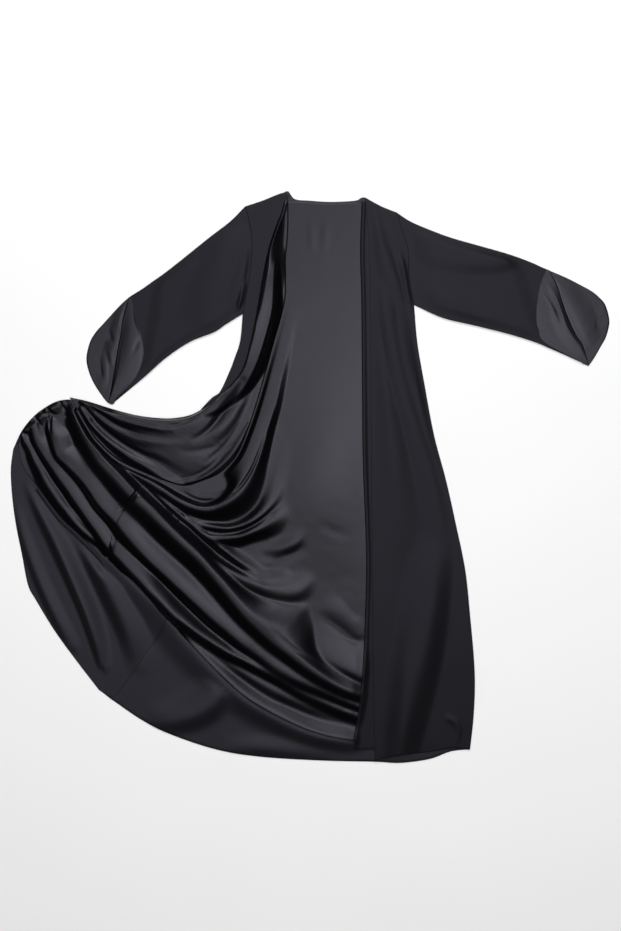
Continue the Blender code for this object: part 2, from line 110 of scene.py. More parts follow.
# Patterns, mm: crepe's and satin's weave are drawn coarser than real, so that they show
PEBBLE = 1.613         # of crepe, about 0.7 on such a cloth
FLOATS = 1.4286        # width of a satin's floats, about 0.2 on such a cloth
FLOATS_LENGTH = 4      # and their length, in widths
CLOUD = 111.1          # slow change in a crepe's black
RIPPLE = 45.45         # in satin that has lain folded
MOTTLE = 333.3         # of the floor's paint

# Camera, straight above, in metres
VIEW_MIDDLE = (0.00125, 0.02875)
CAMERA_HEIGHT = 5.0


class Fold(NamedTuple):
    """A ridge of cloth along a crest, or a crease where its heights are below 0.

    crown is how round its top is: 0.1 is nearly sharp, 0.8 a broad swell.
    Each crest row is x, y, height, and the reach of its left and right flank, as
    seen walking from the first row to the last.  level is how far from the crest
    its top stays level, both ways.
    """
    crown: float
    crest: tuple
    level: float = 0.0


# ---------------------------------------------------------------- outlines (x, y)

BACK_TOP = (
    (-162, 676), (-120, 690), (-68, 710), (-55, 715), (-38, 695), (0, 691), (45, 688),
    (88, 689), (118, 692), (135, 699), (178, 676), (218, 660),
)
ARMHOLE_RIGHT = (
    (-162, 676), (-152, 635), (-145, 592), (-148, 530), (-155, 480), (-168, 408),
)
ARMHOLE_LEFT = ((218, 660), (230, 618), (245, 568), (248, 498), (260, 430))
SIDE_SEAM = (
    (-168, 408), (-175, 338), (-195, 278), (-215, 192), (-245, 42), (-280, -95),
    (-318, -232), (-368, -370), (-420, -455), (-478, -535), (-498, -555),
)
OPENED_FROM = 2        # the SIDE_SEAM point where the turned-out stretch starts
LEFT_SIDE = (
    (260, 430), (268, 338), (285, 238), (310, 105), (340, -8), (365, -120), (388, -232),
    (400, -345), (410, -458), (412, -532), (408, -608), (400, -681),
)
BACK_HEM = (
    (-498, -555), (-420, -608), (-345, -645), (-232, -682), (-120, -700), (30, -709),
    (162, -712), (225, -715), (300, -705), (352, -686), (400, -681),
)
OPENED_TOP = (
    (-742, 70), (-720, 116), (-690, 152), (-655, 174), (-610, 190), (-540, 178),
    (-480, 160), (-420, 146), (-360, 140), (-315, 144), (-265, 166), (-226, 212),
    (-195, 278),
)
OPENED_HEM = (
    (-742, 70), (-748, 20), (-745, -45), (-735, -120), (-720, -195), (-705, -270),
    (-685, -308), (-640, -382), (-585, -458), (-528, -532),
)
OPENED_CORNER = (-513, -543)
FRONT_RIGHT_OUTER = (
    (-168, 408), (-175, 338), (-195, 278), (-220, 218), (-245, 198), (-272, 170),
)
FRONT_RIGHT_INNER = (
    (-53, 704), (-58, 690), (-66, 660), (-77, 630), (-90, 590), (-100, 553), (-104, 528),
    (-106, 490), (-104, 440), (-120, 330), (-150, 255), (-195, 202), (-260, 160),
)
FRONT_RIGHT_TOP = ((-162, 676), (-120, 690), (-68, 710), (-53, 704))
FRONT_RIGHT_END = ((-272, 170), (-266, 165), (-260, 160))
FACING_EDGE = (
    (129, 690), (125, 568), (128, 442), (130, 192), (132, 28), (140, -205), (135, -408),
    (130, -508), (122, -580), (112, -635), (108, -681),
)
FRONT_LEFT_EDGE = (
    (136, 699), (143, 650), (150, 492), (152, 192), (155, -208), (158, -508), (162, -709),
)
FRONT_LEFT_TOP = ((136, 699), (178, 676), (218, 660))
FRONT_LEFT_HEM = ((162, -709), (222, -695), (294, -688), (357, -678), (400, -682))

# Back lining: its side edge, and the y on the far side that each point runs to.
# LINING_CLOSE goes round the lining from its hem's last point back to the first.
LINING_STATIONS = (
    # side_x, side_y, far_y
    (-70, 688, 660),
    (-78, 542, 585),
    (-85, 442, 500),
    (-112, 330, 390),
    (-148, 230, 280),
    (-175, 148, 180),
    (-205, 80, 80),
    (-250, 32, -40),
    (-300, 12, -170),
    (-355, 18, -290),
    (-400, 12, -370),
)
LINING_SEAM = (
    # x, y, far_y
    (-400, 12, -370),
    (-430, -40, -440),
    (-472, -95, -510),
    (-492, -140, -570),
    (-500, -190, -625),
    (-508, -218, -672),
)
LINING_NECK = (
    (-70, 688), (-38, 688), (0, 686), (45, 683), (88, 684), (118, 684), (188, 660),
)
LINING_CLOSE = ((188, 660), (-70, 688), (-300, 160), (-575, 184), (-660, 175))
LINING_HEM = (
    (-508, -218), (-446, -255), (-402, -302), (-358, -360), (-306, -408), (-258, -458),
    (-198, -518), (-134, -568), (-54, -610), (25, -640), (108, -659), (188, -672),
)
CORNER_GATHERS = (
    (-732, 90), (-720, 115), (-690, 152), (-660, 175), (-630, 190), (-600, 193),
    (-575, 184),
)
CORNER_HEM = (
    (-732, 90), (-718, 28), (-680, -25), (-625, -99), (-584, -138), (-530, -192),
    (-508, -218),
)
CORNER_LAP = ((-575, 184), (-532, 120), (-470, 62), (-400, 12))

# Turned-out lining of the right front, from the neck round to the gathered corner
SWAG_STATIONS = (
    # edge_x, edge_y, fold_x, fold_y
    (-66, 688, -54, 692),
    (-73, 660, -54, 662),
    (-85, 630, -54, 630),
    (-99, 590, -56, 590),
    (-109, 553, -60, 548),
    (-114, 528, -60, 500),
    (-122, 485, -61, 450),
    (-132, 425, -72, 398),
    (-148, 345, -88, 342),
    (-170, 270, -105, 280),
    (-208, 222, -128, 198),
    (-262, 176, -152, 125),
    (-300, 155, -182, 55),
    (-345, 147, -222, 12),
    (-385, 148, -264, -8),
    (-420, 152, -310, -22),
    (-450, 158, -350, -14),
    (-480, 166, -400, 5),
    (-510, 175, -478, 42),
    (-538, 184, -530, 88),
    (-562, 191, -556, 125),
    (-600, 199, -578, 165),
)

# ---------------------------------------------------------------------- folds

LINING_FOLDS = (
    # the long swag's outer ridge, down from the neck and round to the gathered corner
    Fold(0.3, (
        (-45, 442, 0, 24, 40), (-60, 342, 1, 24, 60), (-78, 252, 4, 24, 100),
        (-92, 188, 7, 26, 130), (-108, 138, 11, 28, 150), (-122, 90, 14, 32, 150),
        (-138, 42, 16, 40, 140), (-158, -2, 18, 54, 90), (-180, -35, 20, 60, 34),
        (-208, -58, 21, 54, 18), (-235, -72, 20, 46, 13), (-265, -78, 20, 40, 13),
        (-298, -70, 19, 34, 13), (-330, -55, 17, 28, 13), (-355, -40, 16, 24, 13),
        (-380, -25, 14, 20, 13), (-405, -8, 12, 18, 13), (-435, 10, 10, 16, 13),
        (-470, 35, 9, 13, 12), (-505, 68, 8, 11, 12), (-538, 100, 7, 10, 11), (-565, 140, 5, 9, 9)), 6),
    # the lip inside it, below the swag
    Fold(0.5, (
        (-150, 92, 0, 8, 8), (-162, 55, 1, 8, 10), (-175, 18, 1.5, 8, 10), (-188, -12, 2, 8, 12),
        (-200, -30, 2, 8, 12), (-222, -48, 2.5, 8, 12), (-250, -52, 2.5, 8, 12),
        (-280, -50, 2.5, 8, 12), (-300, -40, 2, 8, 12), (-318, -25, 1, 8, 10))),
    # second ridge round the swag
    Fold(0.35, (
        (-40, 168, 0, 60, 40), (-55, 92, 1, 65, 38), (-68, 38, 2, 60, 34), (-80, -8, 3, 50, 40),
        (-92, -50, 5, 36, 38), (-112, -82, 9, 22, 26), (-138, -105, 13, 16, 20),
        (-168, -120, 15, 15, 14), (-205, -128, 16, 15, 12), (-242, -125, 14, 14, 12),
        (-275, -118, 12, 11, 12), (-302, -102, 9, 9, 10)), 4),
    # third ridge round the swag
    Fold(0.3, (
        (-15, -18, 0, 40, 40), (-38, -48, 1, 50, 50), (-58, -72, 2, 50, 50), (-82, -98, 6, 46, 34),
        (-118, -122, 13, 36, 20), (-150, -138, 17, 26, 14), (-180, -148, 17, 26, 13),
        (-222, -152, 15, 24, 14), (-252, -148, 13, 18, 12), (-275, -135, 10, 12, 10)), 4),
    # its inner end, running up to the gathered corner
    Fold(0.3, (
        (-430, -5, 5, 10, 9), (-400, -30, 9, 10, 10), (-368, -58, 11, 10, 10),
        (-332, -88, 12, 10, 12), (-300, -115, 12, 10, 14), (-272, -138, 12, 12, 14),
        (-245, -160, 12, 14, 14), (-215, -182, 11, 18, 14), (-185, -205, 9, 22, 16),
        (-158, -225, 7, 26, 20), (-130, -245, 4.5, 30, 26), (-105, -260, 2.5, 30, 30),
        (-75, -270, 1, 30, 30), (-45, -268, 0, 30, 20)), 3),
    # fourth ridge, ending under the middle of the back
    Fold(0.3, (
        (-418, -50, 9, 9, 8), (-395, -70, 11, 9, 9), (-368, -88, 13, 10, 10),
        (-338, -112, 14, 10, 12), (-312, -132, 15, 10, 14), (-275, -170, 16, 11, 16),
        (-242, -202, 16, 12, 20), (-212, -225, 16, 14, 30), (-175, -250, 15, 26, 40),
        (-138, -268, 13, 44, 46), (-100, -282, 10, 60, 46), (-65, -290, 8, 70, 44),
        (-35, -285, 6, 70, 40), (-12, -265, 3, 60, 34), (2, -232, 0, 50, 30)), 3),
    # the longest ridge, from the gathered corner to the facing
    Fold(0.6, (
        (-595, 188, 3, 10, 20), (-582, 155, 9, 14, 34), (-565, 118, 16, 18, 46),
        (-550, 92, 20, 22, 54), (-535, 68, 23, 26, 60), (-518, 42, 26, 28, 66),
        (-495, 18, 28, 30, 70), (-470, -8, 30, 31, 74), (-448, -32, 31, 32, 76),
        (-430, -50, 32, 32, 78), (-395, -82, 32, 31, 74), (-358, -120, 33, 30, 68),
        (-318, -158, 33, 29, 66), (-278, -195, 33, 28, 64), (-245, -232, 32, 30, 62),
        (-212, -272, 32, 40, 60), (-182, -312, 31, 56, 56), (-152, -348, 30, 80, 52),
        (-120, -380, 28, 110, 48), (-88, -410, 26, 130, 44), (-55, -436, 25, 104, 40),
        (-20, -464, 24, 66, 36), (15, -489, 23, 46, 33), (52, -512, 21, 44, 30),
        (90, -531, 20, 42, 27), (130, -546, 18, 40, 24)), 5),
    # the broad ridge beside it, narrowing to the facing
    Fold(0.9, (
        (-650, 150, 2, 16, 8), (-648, 118, 8, 40, 14), (-640, 90, 13, 60, 20),
        (-628, 55, 16, 66, 22), (-605, 32, 18, 72, 25), (-582, 10, 19, 76, 27),
        (-562, -12, 20, 76, 29), (-545, -35, 21, 76, 30), (-525, -65, 22, 76, 31),
        (-502, -90, 22, 78, 32), (-482, -110, 22, 90, 36), (-460, -138, 23, 90, 38),
        (-435, -168, 22, 90, 34), (-402, -205, 21.5, 90, 28), (-365, -240, 22, 90, 24),
        (-325, -278, 22, 90, 24), (-285, -315, 21.5, 90, 24), (-245, -352, 21, 90, 26),
        (-205, -385, 20, 80, 28), (-165, -418, 19, 80, 30), (-128, -445, 17, 76, 28),
        (-78, -482, 16, 66, 26), (-25, -510, 15, 56, 24), (25, -532, 14, 44, 22),
        (75, -555, 13, 34, 18), (130, -578, 12, 26, 14)), 2),
    # the ridge under it
    Fold(0.9, (
        (-698, 148, 2, 14, 10), (-692, 118, 6, 24, 14), (-685, 92, 9, 34, 18),
        (-672, 68, 11, 44, 20), (-655, 42, 12, 50, 22), (-638, 18, 13, 54, 24),
        (-620, -8, 13, 56, 25), (-602, -32, 13, 56, 25), (-585, -58, 13, 56, 25),
        (-568, -82, 13, 56, 24), (-550, -108, 13, 56, 24), (-532, -132, 13, 56, 24),
        (-515, -158, 13, 56, 24), (-498, -180, 13, 56, 24), (-470, -208, 15, 56, 28),
        (-445, -235, 17, 56, 30), (-420, -260, 18.5, 54, 30), (-398, -285, 19.5, 48, 30),
        (-372, -310, 20, 42, 30), (-338, -345, 20, 38, 30), (-308, -368, 19.5, 32, 28),
        (-278, -390, 18.5, 28, 28), (-240, -415, 17.5, 26, 27), (-202, -438, 16.5, 24, 26),
        (-165, -456, 15, 22, 25), (-125, -478, 13, 22, 24), (-75, -505, 12, 22, 24),
        (-25, -535, 9, 34, 26), (25, -558, 9, 28, 26), (75, -580, 9, 22, 24),
        (130, -600, 8, 18, 22)), 1),
    # the low ridge above the hem
    Fold(0.6, (
        (-350, -358, 2, 18, 12), (-325, -380, 5, 20, 14), (-275, -415, 6, 22, 16),
        (-238, -445, 6, 24, 18), (-200, -470, 6, 26, 20), (-162, -492, 6, 28, 24),
        (-125, -515, 6, 30, 28), (-88, -535, 6, 32, 34), (-50, -555, 5, 28, 24),
        (0, -578, 3, 28, 20), (50, -598, 1, 24, 20), (100, -615, 0, 24, 20))),
    # the hem, standing a little off the shell
    Fold(0.9, (
        (-480, -222, 6, 12, 10), (-425, -278, 9, 14, 10), (-362, -338, 10, 18, 10),
        (-300, -412, 10, 26, 10), (-238, -478, 11, 32, 10), (-162, -548, 12, 36, 10),
        (-75, -600, 12, 38, 10), (12, -640, 12, 38, 10), (105, -660, 10, 36, 10))),
    # narrow ridge along the corner's hem
    Fold(0.3, (
        (-721, 112, 3, 14, 8), (-715, 92, 5, 20, 10), (-700, 68, 6.5, 24, 14),
        (-688, 42, 7, 26, 20), (-674, 18, 7.5, 28, 24), (-661, -8, 8, 28, 27),
        (-646, -32, 8, 28, 29), (-628, -58, 8, 26, 29), (-610, -82, 7.5, 22, 26),
        (-590, -108, 7, 20, 22), (-568, -132, 6, 18, 18), (-545, -152, 5, 14, 13),
        (-522, -172, 2, 9, 9)), 1),
    # and the short one that forks from it
    Fold(0.2, (
        (-620, -58, 3, 7, 7), (-600, -80, 5, 7, 7), (-582, -100, 5.5, 7, 7), (-560, -125, 5, 7, 7),
        (-538, -150, 3, 7, 7), (-520, -170, 1, 7, 7)), 2),
    # puffed up along the gathering
    Fold(0.3, (
        (-732, 90, 2, 8, 12), (-718, 110, 4, 9, 18), (-698, 130, 5, 9, 22), (-675, 150, 5, 9, 24),
        (-650, 170, 5, 9, 26), (-625, 182, 4, 9, 24), (-600, 188, 2, 8, 18))),
    # low swells beside the facing
    Fold(0.5, (
        (-60, -362, 0, 70, 36), (-22, -402, 1.5, 80, 38), (15, -432, 4, 86, 38),
        (52, -459, 7.5, 88, 36), (90, -481, 11, 90, 34), (130, -502, 13.5, 90, 32))),
    Fold(0.9, (
        (30, -308, 0, 39, 31), (65, -335, 2, 39, 31), (95, -360, 2, 36, 29),
        (122, -388, 1.5, 34, 26))),
    # the broad middle of the back
    Fold(0.9, (
        (50, 368, 0, 150, 120), (40, 192, 2, 150, 130), (30, 42, 5, 150, 130),
        (25, -58, 6, 150, 120), (25, -158, 3, 150, 110), (30, -258, 0, 150, 100))),
    # and its swell across
    Fold(0.9, (
        (-50, 18, 2, 160, 200), (5, 8, 5, 170, 220), (50, -2, 5, 170, 220), (100, -8, 1, 160, 200))),
    # a slack fold below the middle
    Fold(0.5, (
        (0, -108, 0, 22, 40), (-15, -140, 2.5, 22, 40), (-40, -170, 4.5, 24, 40),
        (-75, -190, 4, 24, 40), (-110, -208, 1.5, 22, 36))),
    # pleats below the neck
    Fold(0.8, (
        (2, 645, 0, 12, 12), (5, 602, 0.5, 14, 14), (8, 552, 0, 14, 14), (8, 505, 0, 14, 14))),
    Fold(0.8, (
        (38, 645, 0, 12, 12), (38, 602, 0.5, 14, 14), (35, 552, 0, 14, 14), (32, 505, 0, 14, 14))),
)
LINING_CREASES = (
    # a stretched hollow under the third ridge's end
    Fold(0.6, (
        (-135, -198, 0, 20, 20), (-105, -200, -2, 20, 20), (-70, -198, -3, 20, 20),
        (-35, -185, -2, 20, 20), (-5, -170, 0, 20, 20))),
    # a line pressed into the long swag's ridge
    Fold(0.3, (
        (-362, -20, -1, 5, 5), (-312, -58, -3, 5, 5), (-262, -70, -3, 5, 5), (-220, -58, -3, 5, 5),
        (-180, -30, -3, 5, 5), (-150, 10, -3, 5, 5), (-130, 55, -2, 5, 5), (-115, 100, -1, 5, 5))),
    # the gathering at the corner
    Fold(0.3, (
        (-662, 180, -2, 5, 5), (-650, 162, -5, 6, 6), (-635, 152, -5, 6, 6), (-615, 150, -3, 6, 6),
        (-592, 152, -1, 6, 6))),
    Fold(0.3, (
        (-680, 168, -2, 5, 5), (-665, 160, -4, 5, 5), (-648, 158, -1, 5, 5))),
    Fold(0.3, (
        (-708, 132, -3, 5, 5), (-695, 135, -4, 5, 5), (-680, 142, -1, 5, 5))),
    Fold(0.3, (
        (-725, 110, -3, 5, 5), (-712, 108, -4, 5, 5), (-700, 102, -1, 5, 5))),
    Fold(0.3, (
        (-690, 155, -2, 4, 4), (-680, 140, -3, 5, 5), (-670, 122, -1, 5, 5))),
    Fold(0.3, (
        (-630, 195, -2, 4, 4), (-620, 178, -3, 5, 5), (-608, 162, -1, 5, 5))),
    Fold(0.3, (
        (-648, 152, -4, 5, 5), (-650, 132, -4, 5, 5), (-648, 108, -1, 5, 5))),
    # puckers at the lining's seam
    Fold(0.3, (
        (-428, -32, -2, 6, 6), (-442, -52, -5, 6, 6), (-458, -68, -4, 6, 6), (-472, -85, -1, 6, 6))),
    Fold(0.3, (
        (-485, -128, -1, 5, 5), (-488, -150, -3, 5, 5), (-495, -172, -4, 6, 6),
        (-502, -192, -3, 6, 6), (-510, -208, -1, 5, 5))),
    # a line pressed into the longest ridge's flank
    Fold(0.5, (
        (-95, -378, -0.5, 7, 7), (-50, -420, -2, 7, 7), (-5, -450, -3, 7, 7), (38, -480, -3, 7, 7),
        (80, -510, -2, 7, 7), (115, -535, -0.5, 7, 7))),
    # along the fourth ridge
    Fold(0.5, (
        (-260, -170, -0.5, 8, 8), (-220, -202, -3, 8, 8), (-180, -228, -3, 8, 8),
        (-140, -250, -2, 8, 8), (-100, -265, -2, 8, 8), (-60, -265, -0.5, 8, 8))),
    Fold(0.5, (
        (70, -282, -0.5, 10, 10), (92, -310, -3, 10, 10), (115, -342, -3, 10, 10))),
    Fold(0.5, (
        (30, -352, -0.5, 10, 10), (60, -372, -2, 10, 10), (95, -400, -3, 10, 10),
        (118, -412, -1.5, 10, 10))),
    Fold(0.5, (
        (30, -122, -0.5, 9, 9), (65, -138, -1.5, 9, 9), (100, -148, -0.5, 9, 9))),
)
SWAG_FOLDS = (
    # rolled edge beside the closed stretch
    Fold(0.35, (
        (-66, 680, 2.5, 10, 6), (-78, 650, 6.5, 18, 7), (-88, 620, 10.5, 27, 8),
        (-100, 580, 14.5, 37, 8), (-102, 532, 17, 42, 8), (-110, 482, 19, 46, 8),
        (-122, 422, 19, 50, 8), (-138, 370, 17.5, 50, 8), (-155, 318, 15, 48, 9),
        (-175, 268, 13, 43, 9), (-200, 228, 10.5, 37, 9), (-232, 198, 6.5, 24, 9),
        (-268, 170, 2.5, 11, 8))),
    # the roll's broad upper side
    Fold(0.3, (
        (-100, 562, 0, 20, 14), (-105, 528, 16, 34, 20), (-108, 482, 23, 40, 26),
        (-112, 422, 25, 44, 26), (-125, 368, 25, 46, 26), (-142, 312, 23, 46, 22),
        (-160, 268, 19, 44, 20), (-182, 232, 14, 40, 18), (-210, 202, 9, 34, 16),
        (-242, 178, 4, 26, 12), (-270, 162, 0, 18, 10)), 16),
    # fan of ridges out of the gathered corner
    Fold(0.6, (
        (-565, 185, 2, 11, 13), (-542, 165, 2.5, 11, 14), (-512, 138, 2.5, 13, 15),
        (-480, 115, 2.5, 14, 17), (-442, 98, 2, 17, 20), (-400, 88, 2, 20, 25),
        (-350, 82, 1.5, 22, 28), (-305, 85, 1, 22, 28), (-275, 92, 0, 20, 25))),
    Fold(0.6, (
        (-545, 178, 1.5, 10, 10), (-512, 160, 2.5, 11, 10), (-475, 140, 3, 13, 10),
        (-430, 128, 3, 14, 11), (-380, 120, 2, 14, 11), (-345, 118, 1, 14, 11))),
    Fold(0.6, (
        (-570, 168, 3.5, 13, 10), (-545, 132, 5, 14, 11), (-515, 100, 6, 17, 12),
        (-488, 78, 6.5, 18, 16), (-450, 50, 6.5, 21, 19), (-412, 28, 6, 25, 19),
        (-382, 8, 5.5, 28, 17), (-355, -10, 5, 28, 13), (-330, -20, 3, 25, 10))),
    # the swag's slack body
    Fold(0.9, (
        (-425, 62, 0.5, 65, 52), (-375, 48, 2, 73, 52), (-320, 35, 2.5, 73, 44),
        (-275, 38, 2, 65, 39), (-240, 55, 0.5, 57, 34))),
    # its lower edge, folded over
    Fold(0.35, (
        (-330, -15, 1, 12, 8), (-300, -10, 2, 14, 10), (-270, -2, 3, 15, 11),
        (-245, 12, 3, 15, 11), (-222, 30, 3, 15, 11), (-200, 52, 3, 15, 11),
        (-182, 78, 2.5, 14, 10), (-168, 102, 1.5, 12, 8), (-152, 132, 1, 10, 7))),
    # between the two tucks
    Fold(0.6, (
        (-245, 92, 0.5, 24, 19), (-220, 115, 2.5, 24, 19), (-198, 142, 3, 22, 19),
        (-180, 172, 3, 22, 17), (-162, 208, 2, 22, 17), (-145, 252, 0, 22, 17))),
)
SWAG_CREASES = (
    # the whole swag slopes down from its rolled top edge
    Fold(0.2, (
        (-570, 188, 2, 7, 10), (-538, 175, 5, 7, 26), (-500, 162, 8, 8, 56),
        (-450, 150, 11, 8, 96), (-400, 140, 13, 8, 130), (-350, 138, 14, 8, 145),
        (-310, 142, 14, 8, 140), (-280, 155, 13, 8, 130), (-255, 172, 11, 8, 110),
        (-230, 195, 8, 8, 90), (-205, 222, 4, 8, 70), (-182, 252, 0, 8, 50))),
    # between the fan's ridges
    Fold(0.5, (
        (-555, 178, -1, 9, 9), (-525, 155, -2, 9, 9), (-495, 135, -2, 9, 9), (-462, 120, -2, 9, 9),
        (-430, 108, -1.5, 10, 9), (-395, 100, -1, 10, 10), (-350, 95, -0.5, 12, 12),
        (-300, 92, 0, 12, 12))),
    Fold(0.5, (
        (-542, 138, -1.5, 10, 10), (-512, 112, -2.5, 10, 12), (-480, 88, -3, 12, 13),
        (-445, 68, -3, 12, 14), (-410, 52, -2.5, 13, 16), (-380, 40, -2, 16, 18),
        (-350, 25, -1, 18, 21), (-315, 10, 0, 18, 21))),
    Fold(0.4, (
        (-532, 162, -1, 6, 6), (-492, 145, -1.5, 7, 7), (-452, 130, -1.5, 7, 7),
        (-410, 118, -1, 7, 7), (-368, 112, 0, 7, 7))),
    Fold(0.4, (
        (-375, 125, -0.5, 7, 7), (-335, 130, -1.5, 7, 7), (-305, 140, -1.5, 7, 7),
        (-278, 152, -1, 6, 6))),
    # tucks round the armpit
    Fold(0.4, (
        (-295, 92, -0.5, 7, 7), (-270, 105, -2, 8, 8), (-248, 122, -3, 11, 8),
        (-230, 142, -3.5, 16, 10), (-215, 165, -3.5, 19, 10), (-198, 185, -3.5, 19, 10),
        (-180, 208, -3, 17, 10), (-165, 238, -1, 14, 10))),
    Fold(0.4, (
        (-260, 35, -0.5, 6, 6), (-238, 55, -2, 6, 6), (-218, 72, -3, 6, 6), (-198, 92, -3, 7, 6),
        (-180, 115, -3.5, 8, 7), (-165, 135, -4, 10, 7), (-152, 158, -4, 10, 7),
        (-142, 188, -1.5, 8, 7))),
    Fold(0.4, (
        (-248, 25, -0.5, 6, 6), (-230, 42, -1.5, 6, 6), (-210, 65, -0.5, 6, 6))),
    Fold(0.4, (
        (-340, -10, -0.5, 7, 6), (-308, -5, -1.5, 7, 6), (-282, 2, -3, 7, 7), (-260, 15, -3, 7, 7),
        (-240, 30, -3, 7, 7), (-222, 48, -1, 7, 6))),
    Fold(0.4, (
        (-315, 62, -0.5, 10, 10), (-280, 65, -1, 11, 11), (-250, 72, -1, 11, 11),
        (-225, 80, -0.5, 10, 10))),
)
FLARE_FOLDS = (
    # the flare's long ridge
    Fold(0.5, (
        (-708, -18, 2, 30, 8), (-678, -88, 7, 36, 10), (-638, -170, 11, 40, 12),
        (-600, -252, 13, 42, 14), (-565, -332, 13, 42, 15), (-538, -408, 9, 38, 16),
        (-520, -468, 3, 30, 16))),
    # the next one, half under the lining
    Fold(0.6, (
        (-590, -108, 2, 20, 20), (-555, -178, 8, 40, 28), (-518, -252, 11, 60, 32),
        (-482, -322, 11, 60, 34), (-452, -392, 8, 60, 34), (-430, -462, 2, 50, 34))),
    # slack cloth left of them
    Fold(0.8, (
        (-735, -82, 1, 18, 10), (-710, -170, 4, 22, 14), (-675, -262, 5, 24, 16),
        (-635, -348, 5, 26, 18), (-595, -422, 2, 26, 18))),
    # a puffed place beside the hem
    Fold(0.7, (
        (-335, -362, 0, 14, 60), (-275, -422, 6, 18, 70), (-230, -472, 10, 22, 80),
        (-215, -518, 12, 24, 80), (-228, -558, 13, 26, 80), (-265, -590, 13, 28, 80),
        (-310, -608, 11, 28, 70), (-360, -615, 7, 26, 60), (-410, -612, 0, 20, 50))),
    # along the shell's hem
    Fold(0.8, (
        (-212, -682, 0, 30, 20), (-150, -678, 4, 40, 20), (-62, -685, 4, 40, 18),
        (12, -692, 2, 36, 16), (75, -698, 0, 30, 14))),
)
HEM_REST = (
    # where the shell runs up to the lining's hem
    Fold(0.5, (
        (-505, -202, 3, 10, 40), (-465, -238, 7, 10, 60), (-425, -278, 9, 10, 66),
        (-362, -338, 9, 10, 70), (-300, -412, 9, 10, 70), (-238, -478, 10, 10, 64),
        (-162, -548, 12, 10, 56), (-75, -600, 12, 10, 48), (12, -640, 12, 10, 40),
        (105, -660, 9, 10, 30))),
)
FRONT_FOLDS = (
    # long soft folds from the armhole down to the side
    Fold(0.8, (
        (152, 602, 0, 30, 54), (158, 442, 2, 33, 60), (162, 318, 3.5, 36, 66),
        (180, 218, 4, 39, 66), (200, 118, 4, 42, 66), (215, 18, 3.5, 45, 66),
        (232, -82, 2, 51, 66), (242, -208, 0, 51, 66))),
    Fold(0.8, (
        (175, 522, 0, 30, 33), (190, 418, 3.5, 33, 36), (210, 318, 5, 33, 39),
        (232, 230, 5, 33, 42), (258, 142, 5, 33, 42), (282, 55, 4, 33, 42), (305, -32, 3, 36, 45),
        (325, -132, 2, 39, 51), (332, -238, 0, 39, 51))),
    Fold(0.8, (
        (215, 442, 0, 27, 30), (230, 342, 3, 30, 33), (250, 255, 4, 30, 33), (282, 168, 4, 30, 33),
        (315, 80, 3.5, 30, 33), (342, -8, 2.5, 30, 33), (368, -88, 0, 30, 33))),
    # the broad one that ends at the hem
    Fold(0.9, (
        (318, -132, 0, 48, 70), (310, -245, 7, 48, 80), (295, -358, 12, 54, 84),
        (275, -458, 14.5, 58, 84), (252, -545, 15.5, 61, 80), (230, -628, 15.5, 61, 70),
        (215, -682, 13, 61, 60))),
    # small pucker by the side's hem
    Fold(0.4, (
        (335, -598, 0, 8, 8), (350, -605, 3, 9, 8), (365, -615, 3, 9, 8), (372, -632, 3, 8, 7),
        (370, -652, 2, 6, 6), (365, -672, 0, 6, 6))),
    # below the shoulder
    Fold(0.7, (
        (152, 672, 1, 24, 42), (175, 592, 3, 21, 48), (200, 522, 3, 20, 48),
        (220, 462, 2.5, 21, 42), (232, 398, 0, 24, 36))),
    # the armpit
    Fold(0.3, (
        (220, 568, 0, 7, 18), (235, 528, 3.5, 7, 20), (248, 488, 6, 7, 22), (255, 448, 5.5, 7, 22),
        (262, 412, 1, 7, 18))),
)
SLEEVE_FOLDS_RIGHT = (
    # soft slanting folds below the shoulder
    Fold(0.8, (
        (-168, 638, 0, 39, 41), (-198, 578, 2.5, 44, 53), (-230, 508, 3.5, 52, 60),
        (-260, 438, 3, 52, 60), (-285, 372, 0, 47, 53))),
    Fold(0.6, (
        (-150, 602, 0, 17, 34), (-160, 538, 3, 17, 36), (-178, 472, 3.5, 19, 38),
        (-198, 418, 1, 19, 36))),
    # the armpit
    Fold(0.3, (
        (-160, 502, 0, 5, 14), (-162, 472, 7, 5, 18), (-170, 438, 8, 5, 18), (-178, 408, 2, 5, 16))),
)
SLEEVE_FOLDS_LEFT = (
    # a slack fold across the forearm
    Fold(0.9, (
        (260, 568, 0, 57, 33), (325, 550, 2.5, 73, 35), (395, 540, 4, 81, 37),
        (460, 540, 5, 81, 37), (510, 550, 5, 81, 33), (550, 560, 4, 65, 26), (580, 568, 3, 52, 20))),
    Fold(0.9, (
        (260, 482, 0, 26, 26), (305, 458, 1, 30, 26), (365, 432, 1.5, 34, 28),
        (435, 402, 1, 34, 28), (485, 388, 0, 34, 28))),
)
END_FOLDS_RIGHT = (
    # the turned-back end
    Fold(0.8, (
        (-448, 422, 0.5, 18, 16), (-445, 372, 2, 31, 26), (-448, 318, 2.5, 39, 34),
        (-462, 268, 2, 39, 34), (-490, 218, 1, 26, 21))),
    # the inside of its end
    Fold(0.8, (
        (-465, 422, 0.5, 13, 18), (-478, 378, 1.5, 14, 23), (-490, 328, 2, 14, 26),
        (-505, 272, 1.5, 14, 26), (-518, 228, 0.5, 13, 18))),
)
